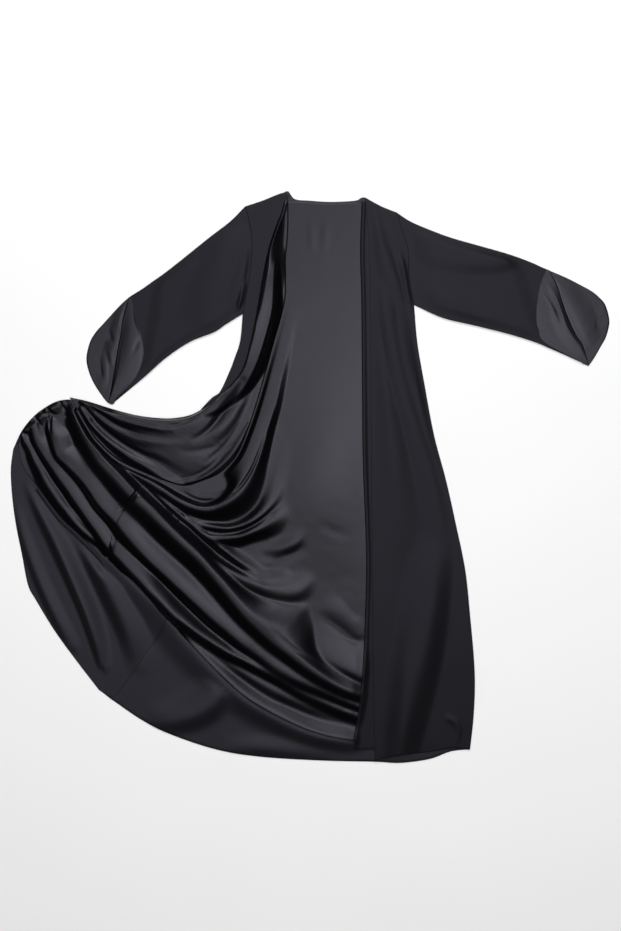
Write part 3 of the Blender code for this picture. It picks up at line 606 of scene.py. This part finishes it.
END_CREASES_RIGHT = (
    Fold(0.6, (
        (-522, 380, -1, 9, 9), (-510, 362, -2, 10, 9), (-498, 345, -1.5, 10, 9),
        (-480, 330, -0.5, 9, 9))),
    Fold(0.6, (
        (-548, 338, -0.5, 8, 8), (-538, 310, -1, 9, 9), (-528, 278, -1, 9, 9),
        (-520, 252, -0.5, 8, 8))),
    Fold(0.6, (
        (-510, 312, -0.5, 8, 8), (-502, 280, -1.5, 9, 9), (-498, 252, -1.5, 9, 9),
        (-500, 228, -0.5, 8, 8))),
    Fold(0.6, (
        (-420, 348, -0.5, 8, 8), (-432, 332, -1, 8, 8), (-440, 312, -0.5, 8, 8))),
)
END_FOLDS_LEFT = (
    # the turned-back end
    Fold(0.8, (
        (595, 488, 0, 14, 20), (612, 448, 1, 17, 31), (632, 405, 1.5, 20, 36),
        (652, 362, 1.5, 20, 36), (678, 318, 0.5, 17, 25))),
    # the inside of its end
    Fold(0.8, (
        (615, 498, 0, 31, 19), (640, 452, 1, 44, 22), (665, 408, 1, 52, 22), (688, 362, 1, 44, 22),
        (705, 328, 0, 26, 16))),
)
END_CREASES_LEFT = (
    Fold(0.6, (
        (585, 475, -0.5, 8, 8), (600, 450, -1.5, 9, 9), (615, 422, -1.5, 9, 9),
        (628, 388, -0.5, 9, 9))),
    Fold(0.6, (
        (572, 442, -0.5, 6, 6), (588, 435, -1, 8, 8), (600, 422, -0.5, 6, 6))),
    Fold(0.6, (
        (572, 398, -0.5, 6, 6), (585, 405, -1, 8, 8), (600, 408, -0.5, 6, 6))),
    Fold(0.6, (
        (575, 365, -0.5, 6, 6), (590, 372, -1, 8, 8), (608, 375, -0.5, 6, 6))),
    Fold(0.6, (
        (718, 455, -0.5, 6, 6), (715, 435, -1.5, 8, 8), (715, 412, -0.5, 6, 6))),
    Fold(0.6, (
        (735, 432, -1, 6, 6), (728, 408, -1.5, 8, 8), (720, 378, -0.5, 8, 8))),
)


class Sleeve(NamedTuple):
    """Plan outlines of one sleeve: long edges from the armhole down, then its end.

    root is the height of its upper layer where it meets the front.
    """
    side: str
    outward: int
    armhole: tuple
    upper: tuple
    lower: tuple
    end: tuple
    turn: tuple
    flap: tuple
    root: float
    folds: tuple
    end_folds: tuple
    end_creases: tuple


SLEEVES = (
    Sleeve(
        "right", -1, ARMHOLE_RIGHT,
        upper=((-162, 676), (-200, 638), (-252, 598), (-352, 518), (-405, 480),
               (-452, 450)),
        lower=((-168, 408), (-210, 382), (-240, 362), (-300, 338), (-360, 298),
               (-420, 245), (-496, 181)),
        end=((-452, 450), (-476, 428), (-518, 382), (-535, 363), (-550, 338),
             (-559, 299), (-554, 267), (-539, 232), (-510, 190), (-496, 181)),
        turn=((-450, 446), (-464, 398), (-471, 350), (-478, 315), (-484, 276),
              (-491, 235), (-500, 186)),
        flap=((-446, 444), (-436, 391), (-424, 360), (-418, 334), (-416, 305),
              (-426, 268), (-442, 240), (-466, 215), (-494, 188)),
        root=CLOSED_TOP, folds=SLEEVE_FOLDS_RIGHT,
        end_folds=END_FOLDS_RIGHT, end_creases=END_CREASES_RIGHT,
    ),
    Sleeve(
        "left", 1, ARMHOLE_LEFT,
        upper=((218, 660), (252, 638), (298, 618), (352, 598), (422, 578), (492, 558),
               (548, 538), (592, 519)),
        lower=((260, 430), (332, 398), (415, 378), (495, 358), (560, 338), (608, 318),
               (697, 278)),
        end=((592, 519), (641, 498), (680, 478), (705, 464), (724, 448), (738, 431),
             (747, 402), (748, 381), (740, 350), (728, 328), (712, 300), (697, 278)),
        turn=((594, 517), (614, 478), (629, 432), (643, 395), (660, 358), (678, 330),
              (692, 284)),
        flap=((590, 517), (575, 480), (568, 440), (565, 410), (568, 375), (582, 340),
              (628, 312), (686, 284)),
        root=FRONT_LOW, folds=SLEEVE_FOLDS_LEFT,
        end_folds=END_FOLDS_LEFT, end_creases=END_CREASES_LEFT,
    ),
)

# ------------------------------------------------------------------- geometry


def smooth_line(points, steps):
    """Catmull-Rom curve through the points, with the given steps in each span."""
    knots = np.asarray(points, dtype=float)
    padded = np.vstack([2 * knots[0] - knots[1], knots, 2 * knots[-1] - knots[-2]])
    curve = []
    for before, start, finish, after in zip(padded, padded[1:], padded[2:], padded[3:]):
        for t in np.arange(steps) / steps:
            curve.append(0.5 * (
                2 * start + (finish - before) * t
                + (2 * before - 5 * start + 4 * finish - after) * t ** 2
                + (3 * start - before - 3 * finish + after) * t ** 3))
    curve.append(knots[-1])
    return np.array(curve)


def resample(curve, cells):
    """A line of points cut into cells of equal length."""
    lengths = np.linalg.norm(np.diff(curve[:, :2], axis=0), axis=1)
    travelled = np.concatenate([[0.0], np.cumsum(lengths)])
    marks = np.linspace(0.0, travelled[-1], cells + 1)
    return np.column_stack([np.interp(marks, travelled, axis) for axis in curve.T])


def even_line(points, cells):
    """A smooth curve through the points, cut into cells of equal length."""
    return resample(smooth_line(points, 12), cells)


def patch(left, right, top, bottom):
    """Plan grid of a four-sided panel, blended from its edges (a Coons patch)."""
    top = np.vstack([left[:1], top[1:-1], right[:1]])
    bottom = np.vstack([left[-1:], bottom[1:-1], right[-1:]])
    v = np.linspace(0.0, 1.0, len(left))[:, None, None]
    u = np.linspace(0.0, 1.0, len(top))[None, :, None]
    across = (1 - u) * left[:, None] + u * right[:, None]
    along = (1 - v) * top[None] + v * bottom[None]
    corners = ((1 - v) * ((1 - u) * left[0] + u * right[0])
               + v * ((1 - u) * left[-1] + u * right[-1]))
    return across + along - corners


def panel(left, right, top, bottom, down, across):
    """Plan grid of a panel from its four outlines, with its cells down and across."""
    return patch(even_line(left, down), even_line(right, down),
                 even_line(top, across), even_line(bottom, across))


def aside(line, shift):
    """The line moved along X."""
    return line + np.array([shift, 0.0])


def ease(values):
    """Smooth step from 0 to 1 while the values go from 0 to 1."""
    t = np.clip(values, 0.0, 1.0)
    return t * t * (3 - 2 * t)


def beside(spots, line):
    """Distance of each spot to a line, its side (+1 left), and its place along it."""
    best = np.full(len(spots), 1e9)
    side = np.ones(len(spots))
    along = np.zeros(len(spots))
    for i, (start, finish) in enumerate(zip(line, line[1:])):
        run = finish - start
        away = spots - start
        t = np.clip((away @ run) / (run @ run), 0.0, 1.0)
        gap = np.hypot(away[:, 0] - t * run[0], away[:, 1] - t * run[1])
        nearer = gap < best
        best[nearer] = gap[nearer]
        side[nearer] = np.sign(run[0] * away[:, 1] - run[1] * away[:, 0])[nearer]
        along[nearer] = (i + t)[nearer]
    return best, side, along


def near(plan, line, reach):
    """Mask of the plan points in the line's box, grown by the reach."""
    low, high = line.min(axis=0) - reach, line.max(axis=0) + reach
    return np.all((plan > low) & (plan < high), axis=-1)


def inside(plan, outline):
    """True where a plan point lies inside the closed outline."""
    x, y = plan[..., 0], plan[..., 1]
    within = np.zeros(x.shape, dtype=bool)
    for (x1, y1), (x2, y2) in zip(outline, np.roll(outline, -1, axis=0)):
        crosses = (y1 > y) != (y2 > y)
        reach = (x2 - x1) * (y - y1) / (y2 - y1 if y2 != y1 else 1.0) + x1
        within ^= crosses & (x < reach)
    return within


def swell(plan, fold):
    """Height of one fold over the plan grid."""
    crest = smooth_line(fold.crest, 4)
    line = crest[:, :2]
    spot = near(plan, line, crest[:, 3:].max())
    gap, side, along = beside(plan[spot], line)
    steps = np.arange(len(crest))
    height, left, right = (np.interp(along, steps, column) for column in crest.T[2:])
    reach = np.where(side > 0, left, right)
    level = np.minimum(fold.level, reach * LEVEL_SHARE)
    away = np.maximum(gap - level, 0.0) / (reach - level)
    crown = fold.crown
    drop = (np.hypot(away, crown) - crown) / (np.hypot(1.0, crown) - crown)
    total = np.zeros(plan.shape[:2])
    total[spot] = height * np.clip(1.0 - drop, 0.0, 1.0) ** FOOT
    return total


def rise(plan, folds):
    """Height that the folds add; where two meet, the higher one leads."""
    total = np.zeros(plan.shape[:2])
    for fold in folds:
        total += np.maximum(swell(plan, fold), 0.0) ** MEET
    return soften(total ** (1 / MEET))


def pressed(plan, creases):
    """Depth of all the creases together, below 0."""
    return soften(sum(swell(plan, crease) for crease in creases))


def soften(height):
    """The heights with their sharpest turns rounded over one cell."""
    for axis in (0, 1):
        inner = np.moveaxis(height, axis, 0)
        around = inner.copy()
        around[1:-1] = (inner[:-2] + 2 * inner[1:-1] + inner[2:]) / 4
        height = np.moveaxis(around, 0, axis)
    return height


def uncovered(plan, outline, edge, margin, fade):
    """0 under a covering layer and within the margin of its edge, 1 further out."""
    reach = margin + fade
    spot = near(plan, edge, reach)
    gap = np.full(plan.shape[:2], reach)
    gap[spot] = beside(plan[spot], edge)[0]
    return np.where(inside(plan, outline), 0.0, ease((gap - margin) / fade))


# ------------------------------------------------------------------- cloth sheets


def travelled(surface, axis):
    """Distance walked over the cloth from its first row or column, in mm."""
    steps = np.linalg.norm(np.diff(surface, axis=axis), axis=-1)
    start = np.zeros_like(np.take(steps, [0], axis=axis))
    return np.cumsum(np.concatenate([start, steps], axis=axis), axis=axis)


def sheet_mesh(name, surface):
    """Mesh grid with its points on a surface grid given in mm.

    Its UV map is the cloth's own surface in metres, so a weave keeps its size.
    """
    rows, cols = surface.shape[:2]
    mesh = bmesh.new()
    mesh.loops.layers.uv.new("cloth")
    bmesh.ops.create_grid(mesh, x_segments=cols - 1, y_segments=rows - 1, size=1.0)
    data = bpy.data.meshes.new(name)
    mesh.to_mesh(data)
    mesh.free()
    square = np.empty(len(data.vertices) * 3)
    data.vertices.foreach_get("co", square)
    col = np.rint((square[0::3] + 1) / 2 * (cols - 1)).astype(int)
    row = np.rint((square[1::3] + 1) / 2 * (rows - 1)).astype(int)
    data.vertices.foreach_set("co", (surface[row, col] * MM).ravel())
    corner = np.empty(len(data.loops), dtype=int)
    data.loops.foreach_get("vertex_index", corner)
    cloth = np.stack([travelled(surface, 1), travelled(surface, 0)], axis=-1)[row, col]
    data.uv_layers["cloth"].uv.foreach_set("vector", (cloth[corner] * MM).ravel())
    data.shade_smooth()
    data.update()
    return data


def lay_sheet(name, plan, height, thickness, material):
    """A cloth sheet whose upper face follows a plan grid at the given heights."""
    surface = np.dstack([plan, np.broadcast_to(height, plan.shape[:2])])
    down, across = surface[1, 0] - surface[0, 0], surface[0, 1] - surface[0, 0]
    if np.cross(across[:2], down[:2]) < 0:
        surface = surface[:, ::-1]
    data = sheet_mesh(name, surface)
    data.materials.append(material)
    piece = bpy.data.objects.new(name, data)
    bpy.context.scene.collection.objects.link(piece)
    wall = piece.modifiers.new("wall", "SOLIDIFY")
    wall.thickness = thickness * MM
    wall.offset = -1.0
    rim = piece.modifiers.new("soft rim", "BEVEL")
    rim.width = thickness * MM / 3
    rim.segments = 2
    rim.limit_method = "ANGLE"
    rim.angle_limit = np.radians(70)
    return piece


def finish_sheet(piece, node):
    """Puts a sheet in place of its solid."""
    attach(piece, "root")
    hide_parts(node)


# ------------------------------------------------------------------- materials


def linear(hex_colour):
    """An sRGB hex colour as linear RGBA."""
    channels = [int(hex_colour[i:i + 2], 16) / 255 for i in (1, 3, 5)]
    return (*[c / 12.92 if c <= 0.04045 else ((c + 0.055) / 1.055) ** 2.4
              for c in channels], 1.0)


def node(tree, kind, settings=(), inputs=(), links=()):
    """Adds a shader node with its settings, input values and incoming links."""
    made = tree.nodes.new(kind)
    for key, value in dict(settings).items():
        setattr(made, key, value)
    for key, value in dict(inputs).items():
        made.inputs[key].default_value = value
    for key, source in dict(links).items():
        tree.links.new(source, made.inputs[key])
    return made


def blank_material(name):
    """A material with its Principled shader, and the node tree."""
    material = bpy.data.materials.new(name)
    material.use_nodes = True
    tree = material.node_tree
    return material, tree, tree.nodes["Principled BSDF"]


def black_crepe(side, gloss):
    """Polyester crepe, woven of hard-twisted yarns: a dull, faintly pebbled black.

    Its wrong side shows more of the yarn's own gloss.
    """
    material, tree, shader = blank_material("woven black crepe, " + side)
    cloth = node(tree, "ShaderNodeUVMap", {"uv_map": "cloth"})
    pebble = node(tree, "ShaderNodeTexNoise", inputs={"Scale": 1 / (PEBBLE * MM), "Detail": 2.0},
                  links={"Vector": cloth.outputs["UV"]})
    cloudy = node(tree, "ShaderNodeTexNoise", inputs={"Scale": 1 / (CLOUD * MM), "Detail": 3.0},
                  links={"Vector": cloth.outputs["UV"]})
    colour = node(tree, "ShaderNodeValToRGB", links={"Fac": cloudy.outputs["Fac"]})
    colour.color_ramp.elements[0].color = linear("#0b0b0d")
    colour.color_ramp.elements[1].color = linear("#101013")
    bump = node(tree, "ShaderNodeBump", inputs={"Strength": 0.35, "Distance": 0.4 * MM},
                links={"Height": pebble.outputs["Fac"]})
    tree.links.new(colour.outputs["Color"], shader.inputs["Base Color"])
    tree.links.new(bump.outputs["Normal"], shader.inputs["Normal"])
    shader.inputs["Roughness"].default_value = 0.50
    shader.inputs["Specular IOR Level"].default_value = gloss
    shader.inputs["Specular Tint"].default_value = linear("#e8e6ff")
    shader.inputs["Sheen Weight"].default_value = 0.03
    shader.inputs["Sheen Roughness"].default_value = 0.5
    return material


def black_satin():
    """Polyester satin, woven with long floats: smooth, with a liquid shine on folds."""
    material, tree, shader = blank_material("woven black satin")
    cloth = node(tree, "ShaderNodeUVMap", {"uv_map": "cloth"})
    floats = node(tree, "ShaderNodeMapping", inputs={"Scale": (1.0, 1 / FLOATS_LENGTH, 1.0)},
                  links={"Vector": cloth.outputs["UV"]})
    weave = node(tree, "ShaderNodeTexNoise", inputs={"Scale": 1 / (FLOATS * MM), "Detail": 1.0},
                 links={"Vector": floats.outputs["Vector"]})
    ripple = node(tree, "ShaderNodeTexNoise", inputs={"Scale": 1 / (RIPPLE * MM), "Detail": 2.0},
                  links={"Vector": cloth.outputs["UV"]})
    fine = node(tree, "ShaderNodeBump", inputs={"Strength": 0.10, "Distance": 0.2 * MM},
                links={"Height": weave.outputs["Fac"]})
    bump = node(tree, "ShaderNodeBump", inputs={"Strength": 0.25, "Distance": 2.0 * MM},
                links={"Height": ripple.outputs["Fac"], "Normal": fine.outputs["Normal"]})
    colour = node(tree, "ShaderNodeValToRGB", links={"Fac": ripple.outputs["Fac"]})
    colour.color_ramp.elements[0].color = linear("#020203")
    colour.color_ramp.elements[1].color = linear("#040405")
    tree.links.new(colour.outputs["Color"], shader.inputs["Base Color"])
    tree.links.new(bump.outputs["Normal"], shader.inputs["Normal"])
    shader.inputs["Roughness"].default_value = 0.35
    shader.inputs["Specular IOR Level"].default_value = 0.36
    shader.inputs["Specular Tint"].default_value = linear("#efedff")
    return material


def floor_paint():
    """Matt painted studio floor: pale and even, with a faint mottle."""
    material, tree, shader = blank_material("matt white floor paint")
    place = node(tree, "ShaderNodeTexCoord")
    mottle = node(tree, "ShaderNodeTexNoise", inputs={"Scale": 1 / (MOTTLE * MM), "Detail": 2.0},
                  links={"Vector": place.outputs["Object"]})
    colour = node(tree, "ShaderNodeValToRGB", links={"Fac": mottle.outputs["Fac"]})
    colour.color_ramp.elements[0].color = linear("#f2f2f2")
    colour.color_ramp.elements[1].color = linear("#f5f5f5")
    tree.links.new(colour.outputs["Color"], shader.inputs["Base Color"])
    shader.inputs["Roughness"].default_value = 0.9
    return material


# --------------------------------------------------------------------- pieces


def swag_edges(steps):
    """The turned-out lining's two long edges."""
    table = smooth_line(SWAG_STATIONS, steps)
    return table[:, :2], table[:, 2:]


def lining_outline():
    """Closed plan outline of all the lining that lies on the shell, and its hem."""
    hem = np.vstack([smooth_line(CORNER_HEM, 3), smooth_line(LINING_HEM, 3)[1:]])
    return np.vstack([hem, LINING_CLOSE]), hem


def shell_lift(plan):
    """Folds of the shell, flat under the lining and up to its hem's height beside it."""
    outline, hem = lining_outline()
    folds = rise(plan, FLARE_FOLDS) * uncovered(plan, outline, hem, SHELL_MARGIN, SHELL_FADE)
    return np.maximum(folds, rise(plan, HEM_REST))


def make_back(wrong_side):
    """Back of the shell; its wrong side is up wherever it shows."""
    armhole_cells, side_cells, back_cells = 34, 140, 60
    left = np.vstack([even_line(ARMHOLE_RIGHT, armhole_cells)[:-1],
                      even_line(SIDE_SEAM, side_cells)])
    right = np.vstack([even_line(ARMHOLE_LEFT, armhole_cells)[:-1],
                       even_line(LEFT_SIDE, side_cells)])
    plan = patch(left, right, even_line(BACK_TOP, back_cells), even_line(BACK_HEM, back_cells))
    lift = shell_lift(plan)
    lift[inside(plan, np.array(FRONT_LEFT_EDGE + LEFT_SIDE[::-1]))] = 0.0
    back = lay_sheet("crepe_back", plan, FLOOR_TOP + lift, CREPE, wrong_side)
    finish_sheet(back, "back")


def make_front_right(crepe, wrong_side):
    """Right front of the shell: its turned-out stretch, then its closed one."""
    plan = panel(OPENED_HEM, SIDE_SEAM[OPENED_FROM:], OPENED_TOP,
                 (OPENED_HEM[-1], OPENED_CORNER, SIDE_SEAM[-1]), down=120, across=96)
    flare = lay_sheet("crepe_front_right_opened", plan, FLOOR_TOP + shell_lift(plan), CREPE,
                      wrong_side)
    finish_sheet(flare, "front_right_opened")

    half_cells, across_cells = 44, 22
    outer = np.vstack([even_line(ARMHOLE_RIGHT, half_cells)[:-1],
                       even_line(FRONT_RIGHT_OUTER, half_cells)])
    inner = even_line(FRONT_RIGHT_INNER, 2 * half_cells)
    plan = patch(outer, inner, even_line(FRONT_RIGHT_TOP, across_cells),
                 even_line(FRONT_RIGHT_END, across_cells))
    strip = lay_sheet("crepe_front_right", plan, CLOSED_TOP, CREPE, crepe)
    finish_sheet(strip, "front_right")


def lining_lift(plan):
    """Folds of the lining, flat under the swag and sinking under the facing."""
    edge, fold = swag_edges(4)
    outline = np.vstack([edge, fold[::-1]])
    facing = smooth_line(FACING_EDGE, 3)[::-1]
    front = np.interp(plan[..., 1], facing[:, 1], facing[:, 0])
    sunk = FACING_KEEP + (1 - FACING_KEEP) * ease((front - plan[..., 0]) / FACING_FADE)
    hidden = ease((front + FACING_UNDER - plan[..., 0]) / FACING_UNDER)
    lift = rise(plan, LINING_FOLDS) + pressed(plan, LINING_CREASES)
    return (np.maximum(lift, 0.0) * sunk * hidden
            * uncovered(plan, outline, fold, LINING_MARGIN, LINING_FADE))


def make_lining(satin):
    """Back lining, and the lining of the gathered corner."""
    down_cells, across_cells = 260, 170
    level_cells = 40    # rows in which the far edge comes down to the neck's last point
    stations = resample(smooth_line(LINING_STATIONS + LINING_SEAM[1:], 8), down_cells)
    drop = ((stations[0, 2] - LINING_NECK[-1][1])
            * np.clip(1 - np.arange(len(stations)) / level_cells, 0.0, 1.0))
    right = np.column_stack([np.full(len(stations), UNDER_FRONT), stations[:, 2] - drop])
    plan = patch(stations[:, :2], right, even_line(LINING_NECK, across_cells),
                 even_line(LINING_HEM, across_cells))
    back = lay_sheet("satin_back_lining", plan, LINING_TOP + lining_lift(plan), SATIN, satin)
    finish_sheet(back, "lining_back")

    down_cells, across_cells = 150, 100
    seam = even_line([row[:2] for row in LINING_SEAM], across_cells)[::-1]
    plan = patch(even_line(CORNER_HEM, down_cells), even_line(CORNER_LAP, down_cells),
                 even_line(CORNER_GATHERS, across_cells), seam)
    corner = lay_sheet("satin_front_right_lining", plan, LINING_TOP + lining_lift(plan),
                       SATIN, satin)
    finish_sheet(corner, "lining_front_right")


def make_swag(satin):
    """The right front's lining turned out from the neck, rolled along both edges."""
    down_steps, across_points = 24, 60
    edge, fold = swag_edges(down_steps)
    across = (0.5 - 0.5 * np.cos(np.linspace(0.0, np.pi, across_points)))[None, :, None]
    plan = (1 - across) * edge[:, None] + across * fold[:, None]
    width = np.linalg.norm(edge - fold, axis=1)[:, None]
    inset = across[..., 0] * width
    roll = np.minimum(inset, SWAG_ROLL) / SWAG_ROLL
    top = LINING_TOP + (SWAG_TOP - LINING_TOP) * np.sqrt(1 - (1 - roll) ** 2)
    tucked = np.sqrt(1 - (1 - np.minimum(width - inset, SWAG_TUCK) / SWAG_TUCK) ** 2)
    lift = np.maximum(rise(plan, SWAG_FOLDS) + pressed(plan, SWAG_CREASES), 0.0) * roll
    swag = lay_sheet("satin_front_right_swag", plan,
                     SWAG_LOW + (top + lift - SWAG_LOW) * tucked, SATIN, satin)
    finish_sheet(swag, "lining_front_right_swag")


def make_hem_band(crepe):
    """Narrow crepe band along the hem of the corner's lining."""
    inner = even_line(CORNER_HEM[2:], 60) + HEM_BAND_LAP
    band = np.stack([inner - HEM_BAND, inner], axis=1)
    hem = lay_sheet("crepe_lining_hem_band", band, LINING_TOP, SATIN, crepe)
    finish_sheet(hem, "lining_hem_band")


def make_front_left(crepe):
    """Closed left front and the facing that shows beside its edge."""
    down_cells, across_cells = 200, 20
    edge = even_line(FACING_EDGE, down_cells)
    lap_top = FRONT_LEFT_TOP[1][1] - FACING_LAP_DROP - FACING_LAP_STEP * np.arange(len(edge))
    lap = np.column_stack([np.full(len(edge), FACING_LAP), np.minimum(edge[:, 1], lap_top)])
    plan = patch(edge, lap, even_line((edge[0], lap[0]), across_cells),
                 even_line((edge[-1], lap[-1]), across_cells))
    carried = LINING_TOP + lining_lift(plan) + FACING_CLEAR + CREPE
    inset = np.linalg.norm(plan - plan[:, :1], axis=2)
    hem = FACING_ROLL * np.sqrt(np.sin(np.pi * np.clip(inset / FACING_HEM, 0.0, 1.0)))
    facing = lay_sheet("crepe_front_left_facing", plan,
                       np.maximum(FACING_TOP, soften(carried)) + hem, CREPE, crepe)
    finish_sheet(facing, "front_left_facing")

    armhole_cells, side_cells, across_cells = 34, 226, 64
    right = np.vstack([even_line(ARMHOLE_LEFT, armhole_cells)[:-1],
                       even_line(LEFT_SIDE, side_cells)])
    plan = patch(even_line(FRONT_LEFT_EDGE, len(right) - 1), right,
                 even_line(FRONT_LEFT_TOP, across_cells), even_line(FRONT_LEFT_HEM, across_cells))
    past = plan[..., 0] - UNDER_FRONT - LINING_MARGIN
    top = FRONT_TOP + (FRONT_LOW - FRONT_TOP) * ease(past / FRONT_SLOPE)
    share = np.linspace(0.0, 1.0, plan.shape[1])
    edges = ease(np.minimum(share / FRONT_EDGE, (1 - share) / FRONT_SIDE))
    lift = rise(plan, FRONT_FOLDS) * edges
    front = lay_sheet("crepe_front_left", plan, top + lift, CREPE, crepe)
    finish_sheet(front, "front_left")


def make_sleeve(sleeve, crepe, satin):
    """One sleeve: under layer, its satin end, upper layer and turned-back flap."""
    side = sleeve.side
    plan = panel(sleeve.armhole, sleeve.end, sleeve.upper, sleeve.lower,
                 down=SLEEVE_CELLS, across=76)
    under = lay_sheet(f"crepe_sleeve_{side}_back", plan, FLOOR_TOP, CREPE, crepe)
    finish_sheet(under, f"sleeve_{side}_back")

    plan, height = sleeve_end(sleeve)
    lining = lay_sheet(f"satin_sleeve_{side}_end", plan, height, SATIN, satin)
    finish_sheet(lining, f"sleeve_{side}_lining")

    plan, height = sleeve_front(sleeve)
    upper = lay_sheet(f"crepe_sleeve_{side}_front", plan, height, CREPE, crepe)
    finish_sheet(upper, f"sleeve_{side}_front")

    plan, height = sleeve_flap(sleeve)
    flap = lay_sheet(f"satin_cuff_{side}", plan, height, SATIN, satin)
    finish_sheet(flap, f"cuff_{side}")


def sleeve_end(sleeve):
    """Plan and heights of the satin inside the sleeve's open end."""
    out = sleeve.outward
    turn = even_line(sleeve.turn, END_CELLS)
    lap = aside(turn, -out * END_LAP)
    end = aside(even_line(sleeve.end, END_CELLS), -out * END_INSET)
    plan = patch(lap, end, even_line((lap[0], end[0]), 44), even_line((lap[-1], end[-1]), 44))
    upward = turn[::-1]
    past = plan[..., 0] * out - np.interp(plan[..., 1], upward[:, 1], upward[:, 0] * out)
    fall = ease((past - END_BARE) / END_FADE)
    return plan, LINING_TOP + sleeve_end_lift(plan, sleeve) * fall * edge_fade(plan, 8)


def sleeve_front(sleeve):
    """Plan and heights of the upper layer, from the armhole to where it turns back."""
    plan = panel(sleeve.armhole, sleeve.turn, sleeve.upper[:-1] + (sleeve.turn[0],),
                 sleeve.lower[:-1] + (sleeve.turn[-1],), down=SLEEVE_CELLS, across=100)
    along = np.linspace(0.0, 1.0, plan.shape[1])[None, :]
    share = np.linspace(0.0, 1.0, plan.shape[0])[:, None]
    top = sleeve.root + (CLOSED_TOP - sleeve.root) * ease(along / ROOT_FADE)
    full = (ease(np.minimum(share, 1 - share) / SLEEVE_EDGE)
            * ease((PUFF_END - along) / PUFF_FADE))
    puff = (SLEEVE_PUFF * ease(along / PUFF_START)
            + rise(plan, sleeve.folds) * ease(along / FOLD_START))
    return plan, top + puff * full


def sleeve_flap(sleeve):
    """Plan and heights of the turned-back end, up out of the sleeve and over its edge."""
    out = sleeve.outward
    roll = even_line(sleeve.turn, END_CELLS)
    brow = aside(roll, out * FLAP_BROW)
    plan = patch(brow, even_line(sleeve.flap, END_CELLS),
                 even_line((brow[0], sleeve.flap[0]), 36),
                 even_line((brow[-1], sleeve.flap[-1]), 36))
    lift = sleeve_end_lift(plan, sleeve) * edge_fade(plan, 5)
    plan = np.concatenate([aside(roll, out * FLAP_START)[:, None], plan], axis=1)
    start = np.full((len(roll), 1), LINING_TOP)
    return plan, np.concatenate([start, FLAP_TOP + lift], axis=1)


def sleeve_end_lift(plan, sleeve):
    """Folds and creases of the satin at a sleeve's end."""
    lift = rise(plan, sleeve.end_folds) + pressed(plan, sleeve.end_creases)
    return np.maximum(lift, 0.0)


def edge_fade(plan, steps):
    """0 on a panel's four edges, rising to 1 the given number of cells in."""
    rows, cols = (np.minimum(np.arange(n), np.arange(n)[::-1]) for n in plan.shape[:2])
    return ease(rows / steps)[:, None] * ease(cols / steps)[None, :]


# ---------------------------------------------------------------- floor and light


def aim(thing, place, target):
    """Puts a light at a place, turned to face the target."""
    thing.location = place
    thing.rotation_euler = (Vector(target) - Vector(place)).to_track_quat("-Z", "Y").to_euler()
    bpy.context.scene.collection.objects.link(thing)


def soft_box(name, place, width, depth, power, target=None):
    """A rectangular studio soft box that lights a target, or the floor right below it.

    That place is taken a hair to the north, which keeps the box square to the axes.
    """
    light = bpy.data.lights.new(name, "AREA")
    light.shape = "RECTANGLE"
    light.size = width
    light.size_y = depth
    light.energy = power
    box = bpy.data.objects.new(name, light)
    box.visible_camera = False
    aim(box, place, target or (place[0], place[1] + 0.001, 0.0))
    return box


def make_floor():
    """Pale floor, far wider than the view."""
    mesh = bmesh.new()
    bmesh.ops.create_grid(mesh, x_segments=1, y_segments=1, size=12.0)
    data = bpy.data.meshes.new("studio_floor")
    mesh.to_mesh(data)
    mesh.free()
    data.materials.append(floor_paint())
    floor = bpy.data.objects.new("studio_floor", data)
    bpy.context.scene.collection.objects.link(floor)


def make_lights():
    """Soft boxes, a bounce off the ceiling that no cloth mirrors, and dim surroundings."""
    soft_box("overhead soft box", (-0.14, 0.05, 4.2), width=3.0, depth=1.45, power=42.5)
    soft_box("corner soft box", (0.72, 0.58, 4.15), width=0.72, depth=0.9, power=18)
    soft_box("key soft box", (0.1, 2.7, 3.2), width=2.6, depth=2.0, power=92, target=(0, 0, 0))
    fill = soft_box("ceiling bounce", (0, -0.8, 6.0), width=7.0, depth=7.0, power=200)
    fill.visible_glossy = False
    world = bpy.data.worlds.new("dim studio")
    bpy.context.scene.world = world
    world.use_nodes = True
    surroundings = world.node_tree.nodes["Background"]
    surroundings.inputs["Color"].default_value = linear("#ffffff")
    surroundings.inputs["Strength"].default_value = 0.015


def make_camera():
    """Camera straight above the laid-out cloak."""
    camera = bpy.data.cameras.new("camera")
    camera.lens = 77.3
    camera.sensor_width = 36.0
    overhead = bpy.data.objects.new("camera", camera)
    overhead.location = (*VIEW_MIDDLE, CAMERA_HEIGHT)
    bpy.context.scene.collection.objects.link(overhead)
    bpy.context.scene.camera = overhead
    bpy.context.scene.view_settings.view_transform = "Standard"


def main():
    """All the cloth pieces, then the studio round them."""
    crepe = black_crepe("right side", 0.22)
    wrong_side = black_crepe("wrong side", 0.42)
    satin = black_satin()
    make_back(wrong_side)
    make_front_right(crepe, wrong_side)
    make_lining(satin)
    make_swag(satin)
    make_hem_band(crepe)
    make_front_left(crepe)
    for sleeve in SLEEVES:
        make_sleeve(sleeve, crepe, satin)
    make_floor()
    make_lights()
    make_camera()


main()
